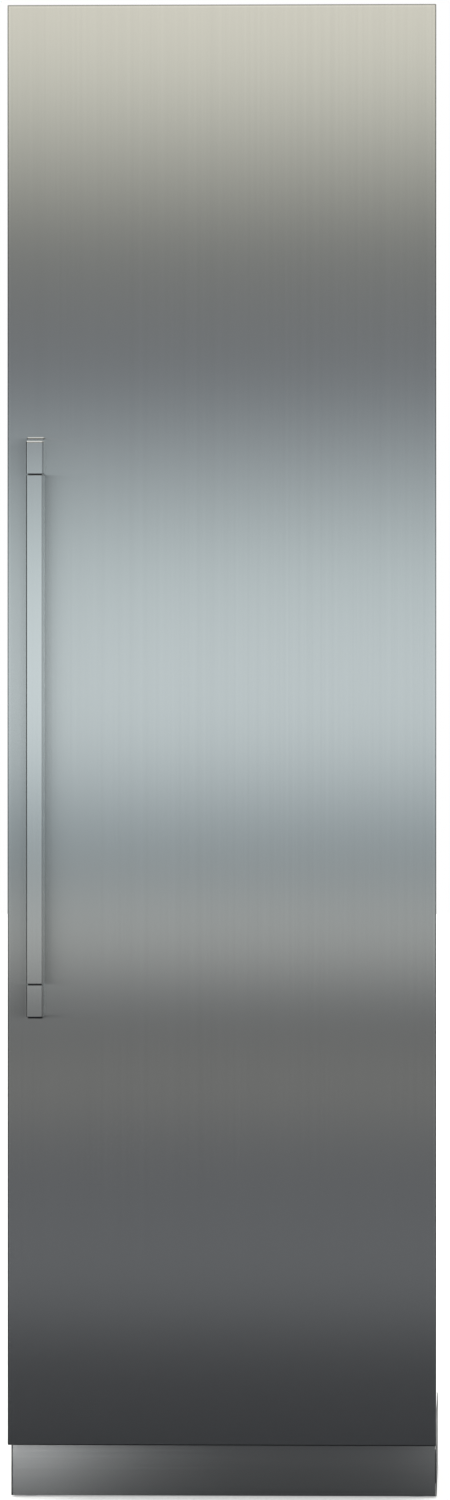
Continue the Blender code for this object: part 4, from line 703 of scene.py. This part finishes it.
def floor_ribs(name, node, x_span, sizes):
    """Ribs from front to back on the floor of a tray, a little shorter than the tray."""
    low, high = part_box(node)
    reach, last = x_span[1] - sizes['rib_margin'], sizes['ribs'] - 1
    feet = [(-reach + 2 * reach * step / last, (low.y + high.y) / 2, low.z + sizes['rib_rise'])
            for step in range(last + 1)]
    grow(name, ROUND_BAR, feet, node, 'clear_plastic', FRONT_TO_BACK,
         Length=high.y - low.y - sizes['rib_short'], Radius=sizes['rib_radius'])


# A hook at each side hangs the rack on the door
RACK = {'wall': 2.4 * MM, 'lip': 0.6 * MM, 'lip_height': 6 * MM, 'radii': (4 * MM, 26 * MM),
        'reach': 8 * MM, 'root': 2.6 * MM, 'depth': 22 * MM, 'inset': 3 * MM, 'height': 12 * MM,
        'lift': 40 * MM, 'block_edge': 1.2 * MM,
        'ribs': 9, 'rib_margin': 30 * MM, 'rib_rise': 2.3 * MM, 'rib_short': 34 * MM, 'rib_radius': 1.2 * MM}
RACK_BAND = 13 * MM


def door_racks():
    """Clear moulded racks with round outer corners, each with a satin band along its lip."""
    for index, node in enumerate(RACKS, 1):
        low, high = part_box(node)
        floor = high.z - RACK_BAND
        near, base = low.y + RACK['inset'], low.z + RACK['lift']
        x_span = moulded_tray(node, RACK, floor + 1 * MM, (near, near + RACK['depth']),
                              (base, base + RACK['height']))
        rings = [(0.4 * MM, floor), (0, floor + 0.4 * MM), (0, high.z - 0.8 * MM), (0.8 * MM, high.z),
                 (2.6 * MM, high.z), (3.2 * MM, high.z - 0.6 * MM), (3.2 * MM, floor)]
        band = bmesh.new()
        add_strip(band, [corner_ring(x_span, (low.y, high.y), RACK['radii'], inset, z) for inset, z in rings])
        finish_piece('door_rack_band_%d' % index, band, node, 'trim')
        floor_ribs('door_rack_ribs_%d' % index, node, x_span, RACK)


# A runner at each side slides on its rail
BIN = {'wall': 2.0 * MM, 'lip': 0.5 * MM, 'lip_height': 7 * MM, 'radii': (6 * MM, 16 * MM),
       'reach': 9 * MM, 'root': 2.2 * MM, 'setback': 51 * MM, 'height': 6 * MM, 'drop': 26 * MM,
       'block_edge': 1.0 * MM,
       'ribs': 13, 'rib_margin': 34 * MM, 'rib_rise': 2.0 * MM, 'rib_short': 46 * MM, 'rib_radius': 1.3 * MM}


def drawer_bins():
    """Clear moulded drawers with round back corners, runners, ribbed floors and a satin grip strip."""
    for word in ('lower', 'upper'):
        node = 'drawer_bin_' + word
        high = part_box(node)[1]
        front_low, front_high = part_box('drawer_front_' + word)
        top = high.z - BIN['drop']
        x_span = moulded_tray(node, BIN, high.z, (front_low.y + BIN['setback'], high.y),
                              (top - BIN['height'], top))
        floor_ribs(node + '_ribs', node, x_span, BIN)
        strip = bmesh.new()
        add_blocks(strip, [((front_low.x + 3 * MM, front_high.x - 3 * MM),
                            (front_low.y - 0.4 * MM, front_low.y + 1.2 * MM),
                            (front_high.z - 10 * MM, front_high.z - 2.4 * MM))], 0.4 * MM)
        finish_piece('drawer_grip_strip_' + word, strip, node, 'trim')


def split_plate_edge():
    """Satin edge strip along the front of the sliding glass plate."""
    low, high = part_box('split_shelf_front')
    strip = bmesh.new()
    add_blocks(strip, [((low.x, high.x), (low.y, low.y + 5 * MM), (low.z - 2 * MM, high.z + 0.9 * MM))],
               1.2 * MM)
    finish_piece('split_plate_edge', strip, 'split_shelf_front', 'trim')


# Walls of the moulded room, in millimetres
ROOM = {'half': 243.4, 'floor': 158.6, 'top': 2039.4, 'back': 290.4, 'step_face': 91.4, 'step_top': 358.6}
ROOM_RADIUS = 9 * MM


def moulded_liner():
    """The liner with the round inner corners that thermoforming leaves."""
    mesh = clean_copy('inner_liner')
    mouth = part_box('inner_liner')[0].y

    def at(value, *names):
        return any(abs(abs(value) - ROOM[name] * MM) < NEAR for name in names)

    def room_corner(edge):
        run = edge.verts[1].co - edge.verts[0].co
        along = max(range(3), key=lambda axis: abs(run[axis]))
        x, y, z = middle_of(edge)
        if along == 1:
            return at(x, 'half') and at(z, 'floor', 'top', 'step_top')
        if along == 2:
            return at(x, 'half') and at(y, 'back', 'step_face')
        if at(y, 'step_face'):
            return at(z, 'floor', 'step_top')
        return at(y, 'back') and at(z, 'step_top', 'top')

    def mouth_corner(edge):
        x, y, z = middle_of(edge)
        inside = abs(x) < ROOM['half'] * MM + NEAR and ROOM['floor'] * MM - NEAR < z < ROOM['top'] * MM + NEAR
        return inside and abs(y - mouth) < NEAR

    bevel_sharp(mesh, ROOM_RADIUS, 4, lambda edge: room_corner(edge) or mouth_corner(edge))
    finish_piece('moulded_liner', mesh, 'inner_liner')


TOUCH_POINTS = (-84, -62, -40, -18, 4)


def control_marks():
    """Touch points and a small dark window on the control housing."""
    low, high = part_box('control_panel')
    level = (low.z + high.z) / 2
    grow('control_touch_points', ROUND_BAR, [(x * MM, low.y, level) for x in TOUCH_POINTS], 'control_panel',
         'diffuser', FRONT_TO_BACK, Length=0.8 * MM, Radius=2.6 * MM)
    window = bmesh.new()
    add_blocks(window, [((34 * MM, 96 * MM), (low.y - 0.5 * MM, low.y + 1 * MM),
                         (level - 6 * MM, level + 6 * MM))], 0.45 * MM)
    finish_piece('control_window', window, 'control_panel', 'black_paint')


# Fastenings: flat heads at the sides, where the cabinets on either hand are close
HEAD = dict(zip(SCREW_SIZES, (4.4 * MM, 2.3 * MM, 6.4 * MM, 0.9 * MM)))
LOW_HEAD = dict(zip(SCREW_SIZES, (3.6 * MM, 1.5 * MM, 5.2 * MM, 0.6 * MM)))
COVER_HEAD = dict(zip(SCREW_SIZES, (2.6 * MM, 1.9 * MM, 4.2 * MM, 1.5 * MM)))
# Places in millimetres
ROOF_SCREWS = [(x, y) for x in (-286, 286) for y in (-60, 110, 300)] + [(x, 322) for x in (-150, 0, 150)]
HINGE_SCREWS = ((271, -205), (271, -168), (286, -168))
SIDE_SCREWS = ((-150, 118), (-150, 2080))
COVER_SCREWS = [(x, z) for x in (-286, -100, 100, 286) for z in (284, 40)]


def screws():
    """Hexagon washer-head screws where the sheets and the hinge plates are fixed."""
    roof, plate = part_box('top_panel')[1].z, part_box('hinge_plate_top')[1].z
    spots = [(x * MM, y * MM, roof) for x, y in ROOF_SCREWS]
    spots += [(x * MM, y * MM, plate) for x, y in HINGE_SCREWS]
    grow('roof_screws', SCREW, spots, 'top_panel', 'zinc_steel', **HEAD)
    spots = [(x * MM, y * MM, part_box('hinge_plate_bottom')[0].z) for x, y in HINGE_SCREWS]
    grow('low_hinge_screws', SCREW, spots, 'hinge_plate_bottom', 'zinc_steel', (math.pi, 0, 0), **HEAD)
    for word, side in (('left', -1), ('right', 1)):
        low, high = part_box('side_panel_' + word)
        spots = [(high.x if side > 0 else low.x, y * MM, z * MM) for y, z in SIDE_SCREWS]
        grow('side_screws_' + word, SCREW, spots, 'side_panel_' + word, 'zinc_steel',
             (0, side * math.pi / 2, 0), **LOW_HEAD)


# Back
PRESSING = 0.6 * MM
LOWEST_FIELD = 300 * MM


def pressed_back():
    """Back sheet, stiffened by four shallow pressed fields, each with a raised middle."""
    mesh = clean_copy('back_panel')
    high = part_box('back_panel')[1]

    def rear_faces():
        return [face for face in mesh.faces
                if face.normal.y > 0.9 and face.calc_center_median().y > high.y - NEAR]

    for share in (0.25, 0.5, 0.75):
        level = LOWEST_FIELD + (high.z - LOWEST_FIELD) * share
        rear = rear_faces()
        parts = rear + [edge for face in rear for edge in face.edges]
        parts += [corner for face in rear for corner in face.verts]
        bmesh.ops.bisect_plane(mesh, geom=list(dict.fromkeys(parts)), plane_co=(0, 0, level),
                               plane_no=(0, 0, 1))
    fields = rear_faces()
    for margin, depth in ((22 * MM, 0), (3 * MM, -PRESSING), (46 * MM, 0), (3 * MM, PRESSING)):
        bmesh.ops.inset_individual(mesh, faces=fields, thickness=margin, depth=depth, use_even_offset=True)
    finish_piece('back_sheet_pressed', mesh, 'back_panel', smooth_degrees=8)


def stadium(x, z, width, height):
    """Outline of an upright slot with round ends."""
    radius = width / 2
    return (arc(x, z + height / 2 - radius, radius, 0, 180, 6)
            + arc(x, z - height / 2 + radius, radius, 180, 180, 6))


def cut_sheet(outlines, rear, front):
    """Upright sheet between two depths, from the outline of its edge and those of its holes."""
    mesh = bmesh.new()
    for outline in outlines:
        corners = [mesh.verts.new((x, rear, z)) for x, z in outline]
        for index, corner in enumerate(corners):
            mesh.edges.new((corner, corners[(index + 1) % len(corners)]))
    bmesh.ops.remove_doubles(mesh, verts=mesh.verts, dist=MERGE_DISTANCE)
    bmesh.ops.triangle_fill(mesh, edges=mesh.edges, use_beauty=True, use_dissolve=False, normal=(0, 1, 0))
    grown = bmesh.ops.extrude_face_region(mesh, geom=list(mesh.faces), use_keep_orig=True)
    for part in grown['geom']:
        if isinstance(part, bmesh.types.BMVert):
            part.co.y = front
    return mesh


# Vents of the machine cover: height of a row's middle over the lower edge, and its length
VENT_ROWS = ((71 * MM, 52 * MM), (138 * MM, 40 * MM))
VENT_WIDTH = 9 * MM
VENT_COUNT = 11
VENT_MARGIN = 60 * MM
SINK_WIDTH = 9 * MM
INLET_HALF = (16.3 * MM, 12.3 * MM)


def machine_cover():
    """Slotted cover with round-ended vents and countersunk screws."""
    low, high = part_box('machine_cover')
    outlines = [[(low.x, low.z), (high.x, low.z), (high.x, high.z), (low.x, high.z)]]
    reach = high.x - VENT_MARGIN
    for middle, height in VENT_ROWS:
        for column in range(VENT_COUNT):
            x = -reach + 2 * reach * column / (VENT_COUNT - 1)
            outlines.append(stadium(x, low.z + middle, VENT_WIDTH, height))
    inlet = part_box('control_box')
    level = (inlet[0].z + inlet[1].z) / 2
    half, rise = INLET_HALF
    lower, upper = level - rise, level + rise
    outlines.append([(-half, lower), (half, lower), (half, upper), (-half, upper)])
    outlines += [stadium(x * MM, z * MM, SINK_WIDTH, SINK_WIDTH) for x, z in COVER_SCREWS]
    mesh = cut_sheet(outlines, high.y, low.y)
    finish_piece('machine_cover_slotted', mesh, 'machine_cover')
    spots = [(x * MM, high.y - 2.0 * MM, z * MM) for x, z in COVER_SCREWS]
    grow('machine_cover_screws', SCREW, spots, 'machine_cover', 'zinc_steel', (-math.pi / 2, 0, 0),
         **COVER_HEAD)


INLET_PINS = ((-7, -2.5), (0, 3.5), (7, -2.5))


def inlet_pins():
    """Three flat pins in the mains inlet."""
    low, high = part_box('control_box')
    level = (low.z + high.z) / 2
    root = high.y - 16 * MM
    pins = [((x * MM - 1 * MM, x * MM + 1 * MM), (root - 0.2 * MM, root + 10 * MM),
             (level + (z - 2) * MM, level + (z + 2) * MM)) for x, z in INLET_PINS]
    mesh = bmesh.new()
    add_blocks(mesh, pins, 0.5 * MM)
    finish_piece('inlet_pins', mesh, 'control_box', 'zinc_steel')


# Feet: radius, height over the underside and, on the nut, number of corners; lengths in millimetres
FOOT_PAD = ((17.5, 0), (19.4, 0.5), (20, 1.6), (20, 5), (19.2, 6.4), (13, 7.6), (9, 8))
FOOT_NUT = ((9.2, 7.6, 0), (9.2, 8.2, 6), (9.9, 8.8, 6), (9.9, 15.2, 6), (9.0, 16, 6))
THREAD_PITCH = 2 * MM
THREAD_DEPTH = 0.7 * MM
THREAD_RADIUS = 5 * MM
THREAD_START = 15.8 * MM
THREAD_STEPS = 16
TIP_HEIGHT = 1 * MM
TIP_RADIUS = 3.8 * MM


def ring_of(radius, centre, z, steps=24, sides=0):
    """Level ring of points; with sides it is a polygon of that many corners."""
    points = []
    for step in range(steps):
        angle = 2 * math.pi * step / steps
        reach = radius
        if sides:
            within = (angle + math.pi / sides) % (2 * math.pi / sides) - math.pi / sides
            reach = radius * math.cos(math.pi / sides) / math.cos(within)
        points.append((centre[0] + reach * math.cos(angle), centre[1] + reach * math.sin(angle), z))
    return points


def thread_rings(centre, start, end):
    """Level rings up a screw thread, four to a turn, each nearer or farther by where its ridge is."""
    rings = []
    rows = int((end - start) / (THREAD_PITCH / 4))
    for row in range(rows + 1):
        z = start + (end - start) * row / rows
        ring = []
        for step in range(THREAD_STEPS):
            angle = 2 * math.pi * step / THREAD_STEPS
            turns = ((z - start) / THREAD_PITCH - step / THREAD_STEPS) % 1
            radius = THREAD_RADIUS - THREAD_DEPTH * abs(2 * turns - 1)
            ring.append((centre[0] + radius * math.cos(angle), centre[1] + radius * math.sin(angle), z))
        rings.append(ring)
    return rings


def feet():
    """Levelling feet: a domed pad, a hexagon to turn it by, and a threaded spindle."""
    for node in FEET:
        low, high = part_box(node)
        centre = ((low.x + high.x) / 2, (low.y + high.y) / 2)
        mesh = bmesh.new()
        add_solid(mesh, [ring_of(radius * MM, centre, low.z + z * MM) for radius, z in FOOT_PAD])
        add_solid(mesh, [ring_of(radius * MM, centre, low.z + z * MM, sides=sides)
                         for radius, z, sides in FOOT_NUT])
        thread = thread_rings(centre, low.z + THREAD_START, high.z - TIP_HEIGHT)
        add_solid(mesh, thread + [ring_of(TIP_RADIUS, centre, high.z, THREAD_STEPS)])
        finish_piece(node + '_threaded', mesh, node)


# Studio
FLOOR_HALF = 40
TENT_RADIUS = 1700 * MM
TENT_TOP = 4200 * MM
TENT_HALF_TURN_DEG = 112
TENT_STEPS = 56
# Bands of light in the tent, as the height on the door where each shows, and its colour there
BANDS = ((2.12, '#D9D4C7'), (1.98, '#C1BFB4'), (1.81, '#858580'), (1.68, '#707172'), (1.55, '#797D81'),
         (1.36, '#AFB8BA'), (1.20, '#C2CACC'), (1.06, '#BDC5C7'), (0.895, '#7D868A'), (0.82, '#AEAFAC'),
         (0.69, '#535457'), (0.61, '#7A7976'), (0.50, '#5E5F61'), (0.30, '#656668'), (0.21, '#3B3C3E'))
BAND_TOP = 2.4
# Share of the light that the steel gives back
STEEL_SHARE = 0.575
# Strength of the tent's light by the angle from straight ahead: dark flags stand on both flanks
FLAGS = ((0, 1.0), (42, 1.0), (58, 0.4), (86, 0.4), (104, 0.9))
# Dark card, from the tent to the toe kick
CARD_SHADES = ((0.0, '#4C4D50'), (0.55, '#4A4B4E'), (0.75, '#38393B'), (1.0, '#1A1B1C'))
CARD_HEIGHT = 2 * MM
CARD_HALF = 1200 * MM
# Levels of the toe kick's own screen from its left end to its right
KICK_GLOW = ((0.0, 2.1), (0.06, 1.75), (0.15, 1.05), (0.3, 0.46), (0.48, 0.2), (0.66, 0.16), (0.82, 0.18),
             (0.92, 0.22), (1.0, 0.48))
KICK_SPAN = (-310 * MM, 290 * MM)
KICK_FULL_HEIGHT = 110 * MM
SCREEN_DISTANCE = 450 * MM
SCREEN_HALF, SCREEN_TOP = 700 * MM, 200 * MM


def rectangle(half, near, far):
    """Corners of a card that reaches half to each side, between two lines at (y, z)."""
    return [(-half, *near), (half, *near), (half, *far), (-half, *far)]


def studio_object(name, vertices, material, faces=((0, 1, 2, 3),)):
    """A floor or card that isn't part of the appliance."""
    data = bpy.data.meshes.new(name)
    data.from_pydata(vertices, [], faces)
    data.materials.append(material)
    thing = linked(name, data)
    return thing


def only_reflected(thing):
    """Show an object in reflections and nowhere else."""
    for ray in ('camera', 'diffuse', 'transmission', 'volume_scatter', 'shadow'):
        setattr(thing, 'visible_' + ray, False)


def glow_material(name):
    """An emission material, which isn't sampled as a lamp, and its tree, emission node and coordinates."""
    material = bpy.data.materials.new(name)
    material.use_nodes = True
    material.cycles.emission_sampling = 'NONE'
    tree = material.node_tree
    tree.nodes.remove(tree.nodes['Principled BSDF'])
    glow = add(tree, 'ShaderNodeEmission')
    tree.links.new(glow.outputs['Emission'], tree.nodes['Material Output'].inputs['Surface'])
    place = add(tree, 'ShaderNodeTexCoord').outputs['Object']
    return material, tree, glow, place


def pale_floor():
    """Matt white studio floor, lit a little from within as a lit studio sweep is."""
    lit = {'Emission Color': srgb('#FFFFFF'), 'Emission Strength': 0.4}
    material, tree, shader, place = start_finish('matt_white_floor', '#F2F2F0', 0.8, lit)
    mottle = add(tree, 'ShaderNodeTexNoise', {'Vector': place, 'Scale': 0.7, 'Detail': 2.0}).outputs['Fac']
    vary_roughness(tree, shader, mottle, 0.75, 0.9)
    studio_object('floor', rectangle(FLOOR_HALF, (-FLOOR_HALF, 0), (FLOOR_HALF, 0)), material)


def banded_light(middle):
    """Level bands for a screen round a middle line, each as high as the camera sees it in the door."""
    material, tree, glow, place = glow_material('banded_light_screen')
    split = add(tree, 'ShaderNodeSeparateXYZ', {'Vector': place})
    lean = 1 + TENT_RADIUS / CAMERA_DISTANCE
    offset = (lean - 1) * CAMERA_HEIGHT
    share = rescale(tree, split.outputs['Z'], -offset, BAND_TOP * lean - offset)
    colour = tones(tree, share, [(height / BAND_TOP, code) for height, code in reversed(BANDS)], 'CARDINAL')
    tree.links.new(colour, glow.inputs['Color'])
    ahead = maths(tree, 'SUBTRACT', middle, split.outputs['Y'])
    turn = maths(tree, 'ABSOLUTE', maths(tree, 'ARCTAN2', split.outputs['X'], ahead))
    around = rescale(tree, turn, 0.0, math.radians(TENT_HALF_TURN_DEG))
    flags = tones(tree, around, [(degrees / TENT_HALF_TURN_DEG, level) for degrees, level in FLAGS])
    tree.links.new(maths(tree, 'DIVIDE', flags, STEEL_SHARE), glow.inputs['Strength'])
    return material


def light_tent():
    """Curved screen round the front with soft level bands of light, seen only in the steel."""
    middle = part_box('door_skin')[0].y
    vertices = []
    half_turn = math.radians(TENT_HALF_TURN_DEG)
    for step in range(TENT_STEPS + 1):
        angle = -half_turn + 2 * half_turn * step / TENT_STEPS
        x, y = TENT_RADIUS * math.sin(angle), middle - TENT_RADIUS * math.cos(angle)
        vertices += [(x, y, 0), (x, y, TENT_TOP)]
    faces = [(2 * step, 2 * step + 1, 2 * step + 3, 2 * step + 2) for step in range(TENT_STEPS)]
    only_reflected(studio_object('light_tent', vertices, banded_light(middle), faces))


def dark_floor_card():
    """Dark card on the floor, seen only in the steel, which keeps the low part of the door dark."""
    material, tree, glow, place = glow_material('dark_floor_card')
    depth = add(tree, 'ShaderNodeSeparateXYZ', {'Vector': place}).outputs['Y']
    front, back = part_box('door_skin')[0].y - TENT_RADIUS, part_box('toe_kick')[0].y
    tree.links.new(tones(tree, rescale(tree, depth, front, back), CARD_SHADES), glow.inputs['Color'])
    vertices = rectangle(CARD_HALF, (front, CARD_HEIGHT), (back, CARD_HEIGHT))
    only_reflected(studio_object('dark_floor_card', vertices, material))


def kick_glow():
    """Low screen that only the toe kick mirrors: bright at its left end, fading downwards."""
    material, tree, glow, place = glow_material('kick_glow')
    split = add(tree, 'ShaderNodeSeparateXYZ', {'Vector': place})
    across = rescale(tree, split.outputs['X'], *KICK_SPAN)
    tree.links.new(tones(tree, across, KICK_GLOW), glow.inputs['Color'])
    fade = rescale(tree, split.outputs['Z'], 0.0, KICK_FULL_HEIGHT)
    tree.links.new(fade, glow.inputs['Strength'])
    clear = add(tree, 'ShaderNodeBsdfTransparent')
    both = add(tree, 'ShaderNodeAddShader', {0: glow.outputs['Emission'], 1: clear.outputs['BSDF']})
    tree.links.new(both.outputs['Shader'], tree.nodes['Material Output'].inputs['Surface'])
    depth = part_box('toe_kick')[0].y - SCREEN_DISTANCE
    screen = studio_object('kick_glow', rectangle(SCREEN_HALF, (depth, 0), (depth, SCREEN_TOP)), material)
    only_reflected(screen)
    receivers = bpy.data.collections.new('kick_glow_receivers')
    receivers.objects.link(NODES['toe_kick'])
    screen.light_linking.receiver_collection = receivers


def add_lamp(name, kind, energy, location, target, **settings):
    """A lamp aimed at a point and left out of reflections."""
    data = bpy.data.lights.new(name, kind)
    data.energy = energy
    for key, value in settings.items():
        setattr(data, key, value)
    lamp = linked(name, data)
    lamp.location = location
    lamp.rotation_euler = (Vector(target) - Vector(location)).to_track_quat('-Z', 'Y').to_euler()
    lamp.visible_glossy = False


def light_studio():
    """White surroundings, a soft sun and one softbox for shape."""
    world = bpy.data.worlds.new('white_studio')
    world.use_nodes = True
    backdrop = world.node_tree.nodes['Background']
    backdrop.inputs['Color'].default_value = srgb('#FFFFFF')
    backdrop.inputs['Strength'].default_value = 1.0
    world.cycles.sampling_method = 'NONE'
    bpy.context.scene.world = world
    add_lamp('overhead_sun', 'SUN', 0.6, (1.5, -4, 7), (0, 0, 1), angle=math.radians(30))
    add_lamp('left_softbox', 'AREA', 60, (-2.6, -2.2, 2.6), (0, 0, 1.0), shape='DISK', size=1.6)


def place_camera():
    """The photograph's viewpoint."""
    data = bpy.data.cameras.new('camera')
    data.lens = CAMERA_LENS
    data.sensor_width = CAMERA_SENSOR
    data.clip_end = CAMERA_REACH
    camera = linked('camera', data)
    camera.location = (CAMERA_SIDE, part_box('door_skin')[0].y - CAMERA_DISTANCE, CAMERA_HEIGHT)
    camera.rotation_euler = (math.pi / 2, 0, math.radians(CAMERA_TURN_DEG))
    bpy.context.scene.camera = camera


rounded_pieces()
handle()
door_seal()
door_racks()
drawer_bins()
split_plate_edge()
moulded_liner()
control_marks()
screws()
pressed_back()
machine_cover()
inlet_pins()
feet()
pale_floor()
light_tent()
dark_floor_card()
kick_glow()
light_studio()
place_camera()
bpy.context.scene.view_settings.view_transform = 'Standard'
